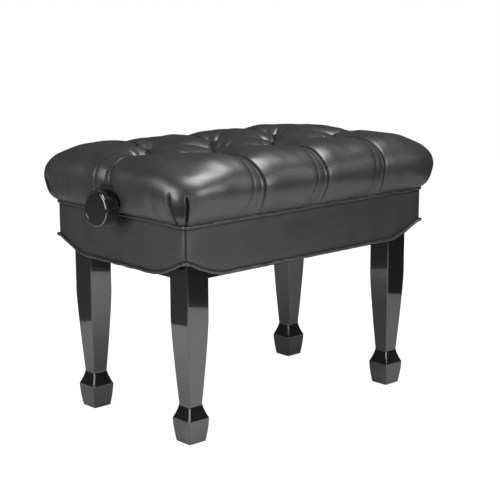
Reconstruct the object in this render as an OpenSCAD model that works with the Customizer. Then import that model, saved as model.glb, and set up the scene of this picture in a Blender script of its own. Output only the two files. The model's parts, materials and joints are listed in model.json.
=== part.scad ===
// Height-adjustable piano bench: a tufted leather seat on a scissor lift, over
// four square tapered legs. Millimetres, +Z up, +X along the seat, seat fully
// down. The origin is on the floor under the middle of the bench.

/* [Seat] */
// Length of the leather skirt, along X
skirt_len = 560; // [500:10:700]
// Depth of the leather skirt, front to back
skirt_dep = 343; // [320:1:420]
// Height of the seam between cushion and skirt, seat down
seam_z = 370; // [350:1:450]
// Height of the skirt, from its top seam to its bottom edge
skirt_h = 84; // [76:1:101]
// How far the bottom edge rises at each corner
corner_rise = 30; // [0:1:36]
// Length of the rising stretch of the bottom edge
corner_run = 85; // [60:1:110]
// Thickness of the skirt's leather and wadding
cover_t = 3.5; // [2:0.1:5]
// Diameter of the welts along the skirt
welt_d = 5; // [4:0.5:7]
// Height of the cushion's crown above the seam
cushion_h = 104; // [90:1:125]
// How far the cushion stands out past the skirt
cushion_bulge = 30; // [20:1:36]
// Radius of the cushion's corners, seen from above
cushion_corner_r = 38; // [25:1:50]
// Thickness of the plywood seat board
board_t = 15; // [12:1:18]
// Thickness of the boards of the seat box
box_t = 12; // [9:1:15]

/* [Tufting] */
// Spacing of the tufts along the seat
tuft_pitch_x = 145; // [120:1:174]
// Distance of the outer tuft rows from the middle row
tuft_pitch_y = 80; // [66:1:82]
// Diameter of a tuft button
button_d = 18; // [14:1:22]
// Depth of the buttons under the crown
tuft_depth = 38; // [30:1:44]

/* [Lift] */
// Height range of the seat
seat_travel = 85; // [60:1:88]
// Diameter of the lift shaft
screw_d = 14; // [11:1:17]
// Diameter of a knob
knob_d = 60; // [50:1:66]
// Length of a knob's body
knob_len = 27; // [22:1:33]
// Distance from the skirt to the back of a knob
knob_gap = 20; // [16:1:26]
// Width of a scissor arm
arm_w = 24; // [20:1:29]
// Thickness of a scissor arm
arm_t = 5; // [4:0.5:6]
// Diameter of the pivot rods
rod_d = 12; // [10:1:14]
// Diameter of the rollers in the channels
roller_d = 15; // [14.5:0.5:18]
// Thickness of the steel channels
channel_t = 3; // [2:0.5:3.5]

/* [Base] */
// Width of a leg at its top
leg_w = 45; // [38:1:54]
// Width of a leg at its neck, above the spade foot
neck_w = 27.8; // [24:0.1:34]
// Width of the spade foot at its widest
foot_w = 43.8; // [38:0.1:52]
// Width of a leg on the floor
toe_w = 34.6; // [28:0.1:40]
// Thickness of the rails between the legs
rail_t = 20; // [16:1:24]
// How far the rails stand back from the legs' outer faces
rail_set = 14; // [8:1:17]
// How far the rails show under the skirt
rail_show = 13.5; // [5:0.5:16]
// Thickness of a corner bracket
bracket_t = 2.5; // [2:0.5:3]

/* [Hidden] */
$fn = 48;

// Fits: running clearance at a bearing, and clearance of a fixed fit (radial)
run_fit = 0.06;
set_fit = 0.03;

// Skirt, seat box and seat board
hx = skirt_len / 2;
hy = skirt_dep / 2;
skirt_z = seam_z - skirt_h;
box_x = hx - cover_t;
box_y = hy - cover_t;
box_in_x = box_x - box_t;
box_in_y = box_y - box_t;
board_lift = 26;
board_z = seam_z + board_lift;
board_top = board_z + board_t;
crown_z = seam_z + cushion_h;
welt_r = welt_d / 2;
welt_out = 1;

// Legs and rails
leg_gap = 3;
leg_out_x = box_in_x - leg_gap;
leg_out_y = box_in_y - leg_gap;
leg_cx = leg_out_x - leg_w / 2;
leg_cy = leg_out_y - leg_w / 2;
leg_in_x = leg_out_x - leg_w;
leg_in_y = leg_out_y - leg_w;
base_drop = 6;
base_top = board_z - base_drop;
rail_z = skirt_z - rail_show;
rail_out_x = leg_out_x - rail_set;
rail_out_y = leg_out_y - rail_set;
rail_in_x = rail_out_x - rail_t;
rail_in_y = rail_out_y - rail_t;
glide_d = 20;
glide_t = 4;
glide_show = 1;

// Lift shaft
screw_r = screw_d / 2;
collar_wall = 4;
collar_r = screw_r + collar_wall;
collar_t = 8;
shaft_clear = 1;
screw_z = board_z - collar_r - shaft_clear;
bush_wall = 2;
bush_flange = 2;
block_t = 20;
block_w = 40;
block_drop = 12;
collar_gap = 0.3;
notch_clear = 8;
boss_r = screw_r + 5;
boss_len = 8;
grub_r = 2;
knob_grip = 20;
knob_back = hx + knob_gap;
knob_face = knob_back + knob_len;
knob_edge_r = 3;

// Layers of the lift on each side, measured out from the middle
side_gap = 2;
arm_gap = 1.5;
web_low_out = rail_in_y;
web_low_in = web_low_out - channel_t;
web_up_out = web_low_in - 1;
web_up_in = web_up_out - channel_t;
outer_arm_out = web_up_in - side_gap;
outer_arm_in = outer_arm_out - arm_t;
inner_arm_out = outer_arm_in - arm_gap;
inner_arm_in = inner_arm_out - arm_t;
head_t = 1.6;
lug_t = 4;
lug_out = inner_arm_in - 2;
lug_in = lug_out - lug_t;

// Pivots of the scissor, and how far its sliding ends travel
rod_r = rod_d / 2;
pin_r = 5;
roller_r = roller_d / 2;
roller_flange = 2;
slot_play = 1;
slot_r = roller_r + slot_play;
slot_end = 5;
pivot_inset = 23 + rail_in_y - leg_in_y;
pivot_x = leg_in_x - pivot_inset;
arm_clear = 5;
channel_lift = 23.5;
channel_z = rail_z + channel_lift;
low_pivot_z = channel_z + channel_t + arm_clear + arm_w / 2;
up_pivot_z = board_z - channel_t - arm_clear - roller_flange - arm_w / 2;
scissor_h = up_pivot_z - low_pivot_z;
arm_len = sqrt(pow(2 * pivot_x, 2) + pow(scissor_h, 2));
slide_travel = 2 * pivot_x - sqrt(pow(arm_len, 2) - pow(scissor_h + seat_travel, 2));
centre_play = 0.9;
lug_play = 3.4;
pin_play = 0.9;
tube_r = rod_r + 4;
flange_w = 25;
channel_end = pivot_x + slot_r + slot_end;

// Cross bar and drive nut
bar_w = 20;
nut_w = 30;
nut_l = 26;
bar_top = screw_z - collar_r - 1;

// Fasteners
wood_screw_r = 2;
wood_screw_head_r = 3.6;
wood_screw_head_t = 1.5;
wood_screw_len = 15;
board_screw_len = 35;
hanger_r = 4;
hanger_in_leg = 30;
hanger_nut_af = 13;
hanger_nut_t = 6.5;
bracket_gap = 3;
bracket_z = rail_z + 2;
bracket_top = up_pivot_z - 11;
tab_h = 18;
tab_len = 25;

// Side of the bench that each corner or side name stands for
LEFT = -1;
RIGHT = 1;
FRONT = -1;
BACK = 1;

// ---------- shared shapes ----------

// Cylinder along X from x0 to x1, centred on y, z
module rod_x(r, x0, x1, y, z) {
  translate([x0, y, z]) rotate([0, 90, 0]) cylinder(r = r, h = x1 - x0);
}

// Cylinder along Y from y0 to y1, centred on x, z
module rod_y(r, y0, y1, x, z) {
  translate([x, y1, z]) rotate([90, 0, 0]) cylinder(r = r, h = y1 - y0);
}

// Upright cylinder from z0 to z1
module rod_z(r, z0, z1, x, y) {
  translate([x, y, z0]) cylinder(r = r, h = z1 - z0);
}

// Block between two opposite corners
module block(a, b) {
  translate(a) cube(b - a);
}

// What is drawn for the back (+Y) side, placed on the named side
module on_side(side) {
  if (side == BACK) children();
  else mirror([0, 1, 0]) children();
}

// What is drawn for the right (+X) end, placed on the named end
module on_end(end) {
  if (end == RIGHT) children();
  else mirror([1, 0, 0]) children();
}

// What is drawn for the back right corner, placed on the named corner
module on_corner(end, side) {
  on_end(end) on_side(side) children();
}

// Slot through a web along X, with round ends, from y0 to y1
module slot_y(r, x0, x1, y0, y1, z) {
  rod_y(r, y0, y1, x0, z);
  rod_y(r, y0, y1, x1, z);
  block([x0, y0, z - r], [x1, y1, z + r]);
}

// ---------- skirt outline ----------

edge_steps = 8;

// Rise of the skirt's bottom edge at distance d from its corner
function edge_rise(d) = d >= corner_run ? 0 : corner_rise * pow(1 - d / corner_run, 1.6);

// Bottom edge of a panel that reaches to +-reach on a skirt of half length half
function edge_points(reach, half, lift) =
  let (run = corner_run - (half - reach))
  concat(
    [for (i = [0 : edge_steps])
      let (x = -reach + run * i / edge_steps)
      [x, skirt_z + lift + edge_rise(half + x)]],
    [for (i = [edge_steps : -1 : 0])
      let (x = reach - run * i / edge_steps)
      [x, skirt_z + lift + edge_rise(half - x)]]);

function reversed(list) = [for (i = [len(list) - 1 : -1 : 0]) list[i]];

// Upright panel along X with the shaped bottom edge, from y0 to y1
module shaped_panel(reach, half, lift, top, y0, y1) {
  translate([0, y1, 0]) rotate([90, 0, 0]) linear_extrude(y1 - y0)
    polygon(concat(edge_points(reach, half, lift), [[reach, top], [-reach, top]]));
}

// Strip that follows the bottom edge along X, welt_d high, from y0 to y1
module edge_strip(reach, half, y0, y1) {
  translate([0, y1, 0]) rotate([90, 0, 0]) linear_extrude(y1 - y0)
    polygon(concat(edge_points(reach, half, -welt_r),
                   reversed(edge_points(reach, half, welt_r))));
}

// The same shapes turned to lie along Y, at the right end
module turned() {
  rotate([0, 0, -90]) children();
}

// ---------- base ----------

// Half width of a leg at height z
neck_z = 66;
flare_z = 41;
taper_z = seam_z - 160;
function leg_half(z) =
  z >= taper_z ? leg_w / 2 :
  z >= neck_z ? leg_w / 2 - (leg_w - neck_w) / 2 * pow((taper_z - z) / (taper_z - neck_z), 1.25) :
  z >= flare_z ? neck_w / 2 + (foot_w - neck_w) / 2 * pow((neck_z - z) / (neck_z - flare_z), 1.45) :
  foot_w / 2 - (foot_w - toe_w) / 2 * pow((flare_z - z) / flare_z, 1.6);

leg_levels = concat(
  [for (i = [0 : 4]) glide_show + (flare_z - glide_show) * i / 5],
  [for (i = [0 : 7]) flare_z + (neck_z - flare_z) * i / 8],
  [for (i = [0 : 11]) neck_z + (taper_z - neck_z) * i / 12],
  [taper_z, base_top]);

leg_outline = concat(
  [for (z = leg_levels) [leg_half(z), z]],
  [for (z = reversed(leg_levels)) [-leg_half(z), z]]);

module leg_slab() {
  translate([0, leg_w, 0]) rotate([90, 0, 0]) linear_extrude(2 * leg_w) polygon(leg_outline);
}

// Axis of the hanger bolts of the back right corner; +X of the child is inward
module hanger_frame(z) {
  translate([leg_in_x, leg_in_y, z]) rotate([0, 0, -135]) children();
}

hanger_levels = [bracket_z + 10, bracket_top - 10];

module leg(end, side) {
  color([0.03, 0.03, 0.035]) on_corner(end, side) difference() {
    translate([leg_cx, leg_cy, 0]) intersection() {
      leg_slab();
      rotate([0, 0, 90]) leg_slab();
    }
    rod_z(glide_d / 2 + set_fit, 0, glide_t, leg_cx, leg_cy);
    for (z = hanger_levels)
      hanger_frame(z) rod_x(hanger_r + set_fit, -hanger_in_leg, 1, 0, 0);
  }
}

module leg_front_left() leg(LEFT, FRONT);
module leg_front_right() leg(RIGHT, FRONT);
module leg_back_left() leg(LEFT, BACK);
module leg_back_right() leg(RIGHT, BACK);

module foot_glides() {
  color([0.12, 0.12, 0.12]) for (end = [LEFT, RIGHT], side = [FRONT, BACK])
    rod_z(glide_d / 2, 0, glide_t, end * leg_cx, side * leg_cy);
}

// Places of the wood screws that hold the lower channels and the brackets
channel_screw_x = [for (i = [0 : 3]) (i - 1.5) * 80];
channel_screw_z = low_pivot_z + slot_r + 5;
tab_levels = [bracket_z + tab_h / 2, bracket_top - tab_h / 2];
bracket_sum = leg_in_x + leg_in_y - bracket_gap * sqrt(2);
tab_x = bracket_sum - rail_in_y - tab_len / 2;
tab_y = bracket_sum - rail_in_x - tab_len / 2;

// Wood screw along -Y into a side rail, with its head against y0
module screw_in_side(x, z, y0, grow) {
  rod_y(wood_screw_r + grow, y0, y0 + wood_screw_len, x, z);
}

module side_screw_holes(grow) {
  for (x = channel_screw_x) screw_in_side(x, channel_screw_z, web_low_in, grow);
  for (z = tab_levels, end = [LEFT, RIGHT])
    screw_in_side(end * tab_x, z, rail_in_y - bracket_t, grow);
}

module end_screw_holes(grow) {
  for (z = tab_levels, side = [FRONT, BACK])
    rod_x(wood_screw_r + grow, rail_in_x - bracket_t, rail_in_x - bracket_t + wood_screw_len,
          side * tab_y, z);
}

module long_rail(side) {
  color([0.03, 0.03, 0.035]) on_side(side) difference() {
    block([-leg_in_x, rail_in_y, rail_z], [leg_in_x, rail_out_y, base_top]);
    side_screw_holes(set_fit);
  }
}

module rail_front() long_rail(FRONT);
module rail_back() long_rail(BACK);

module end_rail(end) {
  color([0.03, 0.03, 0.035]) on_end(end) difference() {
    block([rail_in_x, -leg_in_y, rail_z], [rail_out_x, leg_in_y, base_top]);
    block([rail_in_x - 1, -screw_r - notch_clear, screw_z - screw_r - notch_clear],
          [rail_out_x + 1, screw_r + notch_clear, base_top + 1]);
    end_screw_holes(set_fit);
  }
}

module rail_left() end_rail(LEFT);
module rail_right() end_rail(RIGHT);

// Bent plate across a corner, with tabs on the two rails
module corner_bracket(end, side) {
  color([0.55, 0.56, 0.58]) on_corner(end, side) difference() {
    union() {
      intersection() {
        hanger_frame(bracket_z) translate([bracket_gap, -tab_len * 2, 0])
          cube([bracket_t, tab_len * 4, bracket_top - bracket_z]);
        block([0, 0, bracket_z], [rail_in_x, rail_in_y, bracket_top]);
      }
      for (z = tab_levels)
        block([tab_x - tab_len / 2, rail_in_y - bracket_t, z - tab_h / 2],
              [tab_x + tab_len / 2, rail_in_y, z + tab_h / 2]);
      block([rail_in_x - bracket_t, tab_y - tab_len / 2, bracket_z],
            [rail_in_x, tab_y + tab_len / 2, bracket_top]);
    }
    for (z = hanger_levels)
      hanger_frame(z) rod_x(hanger_r + 0.3, 0, 4 * bracket_gap, 0, 0);
    side_screw_holes(0.2);
    end_screw_holes(0.2);
  }
}

module corner_bracket_front_left() corner_bracket(LEFT, FRONT);
module corner_bracket_front_right() corner_bracket(RIGHT, FRONT);
module corner_bracket_back_left() corner_bracket(LEFT, BACK);
module corner_bracket_back_right() corner_bracket(RIGHT, BACK);

hanger_nut_x = bracket_gap + bracket_t;

module hanger_bolts() {
  color([0.7, 0.7, 0.72]) for (end = [LEFT, RIGHT], side = [FRONT, BACK], z = hanger_levels)
    on_corner(end, side) hanger_frame(z)
      rod_x(hanger_r, -hanger_in_leg, hanger_nut_x + hanger_nut_t + 2, 0, 0);
}

module hanger_nuts() {
  color([0.7, 0.7, 0.72]) for (end = [LEFT, RIGHT], side = [FRONT, BACK], z = hanger_levels)
    on_corner(end, side) hanger_frame(z) difference() {
      translate([hanger_nut_x, 0, 0]) rotate([0, 90, 0])
        cylinder(d = hanger_nut_af / cos(30), h = hanger_nut_t, $fn = 6);
      rod_x(hanger_r + set_fit, hanger_nut_x - 1, hanger_nut_x + hanger_nut_t + 1, 0, 0);
    }
}

module base_screws() {
  color([0.7, 0.7, 0.72]) {
    for (side = [FRONT, BACK]) on_side(side) {
      side_screw_holes(0);
      for (x = channel_screw_x)
        rod_y(wood_screw_head_r, web_low_in - wood_screw_head_t, web_low_in, x, channel_screw_z);
      for (z = tab_levels, end = [LEFT, RIGHT])
        rod_y(wood_screw_head_r, rail_in_y - bracket_t - wood_screw_head_t,
              rail_in_y - bracket_t, end * tab_x, z);
    }
    for (end = [LEFT, RIGHT]) on_end(end) {
      end_screw_holes(0);
      for (z = tab_levels, side = [FRONT, BACK])
        rod_x(wood_screw_head_r, rail_in_x - bracket_t - wood_screw_head_t,
              rail_in_x - bracket_t, side * tab_y, z);
    }
  }
}

// Slotted angle against a side rail: fixed pivot at the left, slot at the right
module lower_channel(side) {
  color([0.55, 0.56, 0.58]) on_side(side) difference() {
    union() {
      block([-channel_end, web_low_in, channel_z],
            [channel_end, web_low_out, channel_screw_z + 6]);
      block([-channel_end, web_low_out - flange_w, channel_z],
            [channel_end, web_low_out, channel_z + channel_t]);
    }
    rod_y(rod_r + set_fit, web_low_in - 1, web_low_out + 1, -pivot_x, low_pivot_z);
    slot_y(slot_r, pivot_x - slide_travel - 1, pivot_x + 1, web_low_in - 1, web_low_out + 1,
           low_pivot_z);
    side_screw_holes(0.2);
  }
}

module lower_channel_front() lower_channel(FRONT);
module lower_channel_back() lower_channel(BACK);

module lower_pivot_rod() {
  color([0.7, 0.7, 0.72]) rod_y(rod_r, -web_low_out + 0.5, web_low_out - 0.5, -pivot_x, low_pivot_z);
}

// ---------- seat box and board ----------

// Screws through the seat board into the box: along each side and each end
long_screw_x = [for (i = [0 : 4]) (i - 2) * (box_x - 50) / 2];
end_screw_y = [for (i = [0 : 3]) (i - 1.5) * (box_y - 58) / 1.5];

module box_screw_places() {
  for (x = long_screw_x, side = [FRONT, BACK]) translate([x, side * (box_y - box_t / 2), 0]) children();
  for (y = end_screw_y, end = [LEFT, RIGHT]) translate([end * (box_x - box_t / 2), y, 0]) children();
}

module box_screw_holes() {
  box_screw_places() rod_z(wood_screw_r + set_fit, board_top - board_screw_len, board_top, 0, 0);
}

module tuft_places() {
  for (side = [FRONT, BACK], i = [-1 : 1]) translate([i * tuft_pitch_x, side * tuft_pitch_y, 0]) children();
  for (i = [-1.5 : 1 : 1.5]) translate([i * tuft_pitch_x, 0, 0]) children();
}

tie_r = 1;
tie_knot_r = 6;
tie_knot_t = 1.5;
button_t = 8;
button_z = crown_z - tuft_depth;

// Screws up into the seat board: the two channels and the thrust block
flange_screw_x = [for (i = [0 : 3]) (i - 1.5) * 90];
flange_screw_y = web_up_in - flange_w + 6;
block_screw_y = block_w / 2 - 5;
block_off = 2.5;
block_x = -tuft_pitch_x - block_off;

module under_screw_holes(grow) {
  for (x = flange_screw_x, side = [FRONT, BACK])
    rod_z(wood_screw_r + grow, board_z - channel_t, board_z + 12, x, side * flange_screw_y);
  for (side = [FRONT, BACK])
    rod_z(wood_screw_r + grow, screw_z - block_drop, board_z + 12, block_x, side * block_screw_y);
}

module seat_board() {
  color([0.72, 0.56, 0.36]) difference() {
    block([-box_x, -box_y, board_z], [box_x, box_y, board_top]);
    box_screw_places() {
      rod_z(wood_screw_r + set_fit, board_z - 1, board_top, 0, 0);
      rod_z(wood_screw_head_r + set_fit, board_top - wood_screw_head_t, board_top + 1, 0, 0);
    }
    tuft_places() rod_z(tie_r + 0.5, board_z - 1, board_top + 1, 0, 0);
    under_screw_holes(set_fit);
  }
}

board_hem = 1;

module box_board_long(side) {
  color([0.72, 0.56, 0.36]) on_side(side) difference() {
    shaped_panel(box_x, hx, board_hem, board_z, box_in_y, box_y);
    box_screw_holes();
  }
}

module box_board_front() box_board_long(FRONT);
module box_board_back() box_board_long(BACK);

module box_board_end(end) {
  color([0.72, 0.56, 0.36]) on_end(end) difference() {
    turned() shaped_panel(box_in_y, hy, board_hem, board_z, box_in_x, box_x);
    rod_x(screw_r + bush_wall + set_fit, box_in_x - 1, box_x + 1, 0, screw_z);
    box_screw_holes();
  }
}

module box_board_left() box_board_end(LEFT);
module box_board_right() box_board_end(RIGHT);

module seat_board_screws() {
  color([0.7, 0.7, 0.72]) box_screw_places() {
    rod_z(wood_screw_r, board_top - board_screw_len, board_top, 0, 0);
    rod_z(wood_screw_head_r, board_top - wood_screw_head_t, board_top, 0, 0);
  }
}

// ---------- skirt and welts ----------

module edge_welt() {
  for (side = [FRONT, BACK]) on_side(side) edge_strip(hx, hx, box_y, hy + welt_out);
  for (end = [LEFT, RIGHT]) on_end(end) turned() edge_strip(hy, hy, box_x, hx + welt_out);
}

module skirt_cover() {
  color([0.06, 0.06, 0.065]) difference() {
    union() {
      for (side = [FRONT, BACK]) on_side(side)
        shaped_panel(hx, hx, welt_r, seam_z - welt_r, box_y, hy);
      for (end = [LEFT, RIGHT]) on_end(end) turned()
        shaped_panel(hy, hy, welt_r, seam_z - welt_r, box_x, hx);
    }
    edge_welt();
  }
}

module top_welt() {
  color([0.06, 0.06, 0.065]) difference() {
    block([-hx - welt_out, -hy - welt_out, seam_z - welt_r], [hx + welt_out, hy + welt_out, seam_z + welt_r]);
    block([-box_x, -box_y, seam_z - welt_d], [box_x, box_y, seam_z + welt_d]);
  }
}

module bottom_welt() {
  color([0.06, 0.06, 0.065]) edge_welt();
}

// ---------- cushion ----------

// Outer form of the cushion: an oval rim section carried round the seat
rim_in = 58;
rim_z = seam_z + cushion_h * 0.53;
rim_steps = 7;
seam_cos = (rim_in - cushion_bulge) / rim_in;
rim_low = (rim_z - seam_z) / sqrt(1 - seam_cos * seam_cos);
function rim_out(a) = cushion_bulge - rim_in * (1 - cos(a));
function rim_level(a) = a < 0 ? rim_z + rim_low * sin(a) : rim_z + (crown_z - rim_z) * sin(a);

module cushion_slice(a) {
  r = a <= -acos(seam_cos) + 1 ? welt_d : cushion_corner_r;
  translate([0, 0, rim_level(a)]) linear_extrude(0.01) offset(r = r, $fn = 32)
    square([2 * (hx + rim_out(a) - r), 2 * (hy + rim_out(a) - r)], center = true);
}

module cushion_form() {
  start = -acos(seam_cos);
  difference() {
    hull() for (i = [0 : rim_steps]) cushion_slice(start + (90 - start) * i / rim_steps);
    for (end = [LEFT, RIGHT]) on_end(end) {
      rod_x(knob_d / 2 + 3, knob_back - 2, knob_face + 20, 0, screw_z);
      rod_x(boss_r + 2, 0, knob_face, 0, screw_z);
    }
  }
}

module cushion_pad() {
  color([0.06, 0.06, 0.065]) difference() {
    intersection() {
      cushion_form();
      block([-knob_face, -hy * 2, board_top], [knob_face, hy * 2, crown_z + 1]);
    }
    tuft_places() {
      rod_z(button_d / 2 + 2, button_z, crown_z + 1, 0, 0);
      rod_z(tie_r + set_fit, board_top - 1, button_z + 1, 0, 0);
    }
  }
}

module side_roll_long(side) {
  color([0.06, 0.06, 0.065]) on_side(side) intersection() {
    cushion_form();
    block([-knob_face, box_y, seam_z + welt_r], [knob_face, hy * 2, board_top]);
  }
}

module side_roll_front() side_roll_long(FRONT);
module side_roll_back() side_roll_long(BACK);

module side_roll_end(end) {
  color([0.06, 0.06, 0.065]) on_end(end) intersection() {
    cushion_form();
    block([box_x, -box_y, seam_z + welt_r], [knob_face, box_y, board_top]);
  }
}

module side_roll_left() side_roll_end(LEFT);
module side_roll_right() side_roll_end(RIGHT);

module tuft_buttons() {
  color([0.05, 0.05, 0.055]) tuft_places() rod_z(button_d / 2, button_z, button_z + button_t, 0, 0);
}

module tuft_ties() {
  color([0.85, 0.82, 0.75]) tuft_places() {
    rod_z(tie_r, board_z - tie_knot_t, button_z, 0, 0);
    rod_z(tie_knot_r, board_z - tie_knot_t, board_z, 0, 0);
  }
}

// ---------- upper half of the lift, on the seat ----------

// Angle under the seat board: fixed pivot at the left, slot at the right
module upper_channel(side) {
  color([0.55, 0.56, 0.58]) on_side(side) difference() {
    union() {
      block([-channel_end, web_up_in, up_pivot_z - slot_r - 7], [channel_end, web_up_out, board_z]);
      block([-channel_end, web_up_in - flange_w, board_z - channel_t],
            [channel_end, web_up_out, board_z]);
    }
    rod_y(pin_r + set_fit, web_up_in - 1, web_up_out + 1, -pivot_x, up_pivot_z);
    slot_y(slot_r, pivot_x - slide_travel - 1, pivot_x + 1, web_up_in - 1, web_up_out + 1,
           up_pivot_z);
    under_screw_holes(0.2);
  }
}

module upper_channel_front() upper_channel(FRONT);
module upper_channel_back() upper_channel(BACK);

// Bolts that carry the inner arms on the upper channels
module shoulder_bolts() {
  color([0.7, 0.7, 0.72]) for (side = [FRONT, BACK]) on_side(side) {
    rod_y(pin_r + 3, web_up_out, web_up_out + head_t, -pivot_x, up_pivot_z);
    rod_y(pin_r, web_up_in, web_up_out, -pivot_x, up_pivot_z);
    rod_y(rod_r + 2, inner_arm_out + 0.2, web_up_in, -pivot_x, up_pivot_z);
    rod_y(rod_r, inner_arm_in - 0.2, inner_arm_out + 0.2, -pivot_x, up_pivot_z);
    rod_y(rod_r + 3, inner_arm_in - 0.2 - head_t, inner_arm_in - 0.2, -pivot_x, up_pivot_z);
  }
}

module shaft_bush(end) {
  color([0.75, 0.6, 0.3]) on_end(end) difference() {
    union() {
      rod_x(screw_r + bush_wall, box_in_x, box_x, 0, screw_z);
      rod_x(collar_r, box_in_x - bush_flange, box_in_x, 0, screw_z);
    }
    rod_x(screw_r + run_fit, box_in_x - bush_flange - 1, box_x + 1, 0, screw_z);
  }
}

module shaft_bush_left() shaft_bush(LEFT);
module shaft_bush_right() shaft_bush(RIGHT);

module thrust_block() {
  color([0.35, 0.35, 0.37]) difference() {
    block([block_x - block_t / 2, -block_w / 2, screw_z - block_drop],
          [block_x + block_t / 2, block_w / 2, board_z]);
    rod_x(screw_r + run_fit, block_x - block_t, block_x + block_t, 0, screw_z);
    under_screw_holes(0.2);
  }
}

module under_board_screws() {
  color([0.7, 0.7, 0.72]) {
    under_screw_holes(0);
    for (x = flange_screw_x, side = [FRONT, BACK])
      rod_z(wood_screw_head_r, board_z - channel_t - wood_screw_head_t, board_z - channel_t,
            x, side * flange_screw_y);
    for (side = [FRONT, BACK])
      rod_z(wood_screw_head_r, screw_z - block_drop - wood_screw_head_t, screw_z - block_drop,
            block_x, side * block_screw_y);
  }
}

// ---------- lift shaft ----------

shaft_end = knob_back + knob_grip;

module lead_screw() {
  color([0.7, 0.7, 0.72]) rod_x(screw_r, -shaft_end, shaft_end, 0, screw_z);
}

// Quarter round of the knob's edge, as points in the knob's own section
function edge_arc(x, y, r, from) = [for (i = [0 : 4]) let (a = from + i * 22.5) [x + r * cos(a), y + r * sin(a)]];

module knob(end) {
  r = knob_d / 2;
  e = knob_edge_r;
  color([0.02, 0.02, 0.022]) on_end(end) difference() {
    union() {
      translate([knob_back, 0, screw_z]) rotate([0, 90, 0]) rotate_extrude()
        polygon(concat([[0, 0]], edge_arc(r - e, e, e, -90), edge_arc(r - e, knob_len - e, e, 0),
                       [[0, knob_len]]));
      rod_x(boss_r, knob_back - boss_len, knob_back + 1, 0, screw_z);
    }
    rod_x(screw_r + set_fit, knob_back - boss_len - 1, shaft_end, 0, screw_z);
    rod_z(grub_r + set_fit, screw_z - boss_r - 1, screw_z - screw_r, knob_back - boss_len / 2, 0);
  }
}

module knob_left() knob(LEFT);
module knob_right() knob(RIGHT);

// Middle of each thrust collar, either side of the thrust block
collar_x = [for (end = [LEFT, RIGHT]) block_x + end * (block_t / 2 + collar_gap + collar_t / 2)];

module thrust_collars() {
  color([0.6, 0.6, 0.62]) for (x = collar_x) difference() {
    rod_x(collar_r, x - collar_t / 2, x + collar_t / 2, 0, screw_z);
    rod_x(screw_r + set_fit, x - collar_t, x + collar_t, 0, screw_z);
    rod_z(grub_r + set_fit, screw_z - collar_r - 1, screw_z - screw_r, x, 0);
  }
}

module grub_screws() {
  color([0.25, 0.25, 0.27]) {
    for (x = collar_x) rod_z(grub_r, screw_z - collar_r, screw_z - screw_r - 0.1, x, 0);
    for (end = [LEFT, RIGHT])
      rod_z(grub_r, screw_z - boss_r, screw_z - screw_r - 0.1, end * (knob_back - boss_len / 2), 0);
  }
}

// ---------- cross bar and nut ----------

// Bar across the lift with a slotted lug round the outer arms' pin at each end
module nut_bar() {
  color([0.5, 0.51, 0.53]) difference() {
    union() {
      block([pivot_x - bar_w / 2, -lug_in, bar_top - bar_w], [pivot_x + bar_w / 2, lug_in, bar_top]);
      for (side = [FRONT, BACK]) on_side(side)
        block([pivot_x - bar_w / 2 - 3, lug_in, bar_top - bar_w],
              [pivot_x + bar_w / 2 + 3, lug_out, up_pivot_z + pin_r + 5]);
    }
    for (side = [FRONT, BACK]) on_side(side)
      slot_y(pin_r + pin_play, pivot_x - lug_play, pivot_x + lug_play, lug_in - 1, lug_out + 1,
             up_pivot_z);
  }
}

module drive_nut() {
  color([0.75, 0.6, 0.3]) difference() {
    block([pivot_x - nut_l / 2, -nut_w / 2, bar_top], [pivot_x + nut_l / 2, nut_w / 2, board_z - shaft_clear]);
    rod_x(screw_r + run_fit, pivot_x - nut_l, pivot_x + nut_l, 0, screw_z);
  }
}

// ---------- scissor arms ----------

// Flat bar with a round eye at each end, a step wider than the bar,
// from (x0, z0) to (x1, z1), between y0 and y1
eye_step = 1.5;
module flat_arm(x0, z0, x1, z1, y0, y1) {
  tilt = atan2(z1 - z0, x1 - x0);
  bar = arm_w - 2 * eye_step;
  rod_y(arm_w / 2, y0, y1, x0, z0);
  rod_y(arm_w / 2, y0, y1, x1, z1);
  translate([x0, y0, z0]) rotate([0, -tilt, 0]) translate([0, 0, -bar / 2])
    cube([norm([x1 - x0, z1 - z0]), y1 - y0, bar]);
}

centre_z = (low_pivot_z + up_pivot_z) / 2;

module outer_arm(side) {
  color([0.5, 0.51, 0.53]) on_side(side) difference() {
    flat_arm(-pivot_x, low_pivot_z, pivot_x, up_pivot_z, outer_arm_in, outer_arm_out);
    rod_y(tube_r + set_fit, outer_arm_in - 1, outer_arm_out + 1, -pivot_x, low_pivot_z);
    rod_y(pin_r + set_fit, outer_arm_in - 1, outer_arm_out + 1, pivot_x, up_pivot_z);
    rod_y(pin_r + set_fit, outer_arm_in - 1, outer_arm_out + 1, 0, centre_z);
  }
}

module outer_arm_front() outer_arm(FRONT);
module outer_arm_back() outer_arm(BACK);

module outer_arm_tube() {
  reach = web_low_in - 0.2;
  color([0.5, 0.51, 0.53]) difference() {
    rod_y(tube_r, -reach, reach, -pivot_x, low_pivot_z);
    rod_y(rod_r + run_fit, -reach - 1, reach + 1, -pivot_x, low_pivot_z);
  }
}

// Centre pivots of the scissor, and the pins at the outer arms' upper ends
module outer_arm_pins() {
  color([0.7, 0.7, 0.72]) for (side = [FRONT, BACK]) on_side(side) {
    rod_y(pin_r, inner_arm_in - 0.3, outer_arm_out, 0, centre_z);
    rod_y(pin_r + 3, inner_arm_in - 0.3 - head_t, inner_arm_in - 0.3, 0, centre_z);
    rod_y(pin_r + 2, outer_arm_out, outer_arm_out + head_t - 0.2, 0, centre_z);
    rod_y(pin_r, lug_in + 0.3, web_up_out + 0.3, pivot_x, up_pivot_z);
    rod_y(slot_r + 1, web_up_out + 0.3, web_up_out + 0.3 + head_t, pivot_x, up_pivot_z);
  }
}

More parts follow.
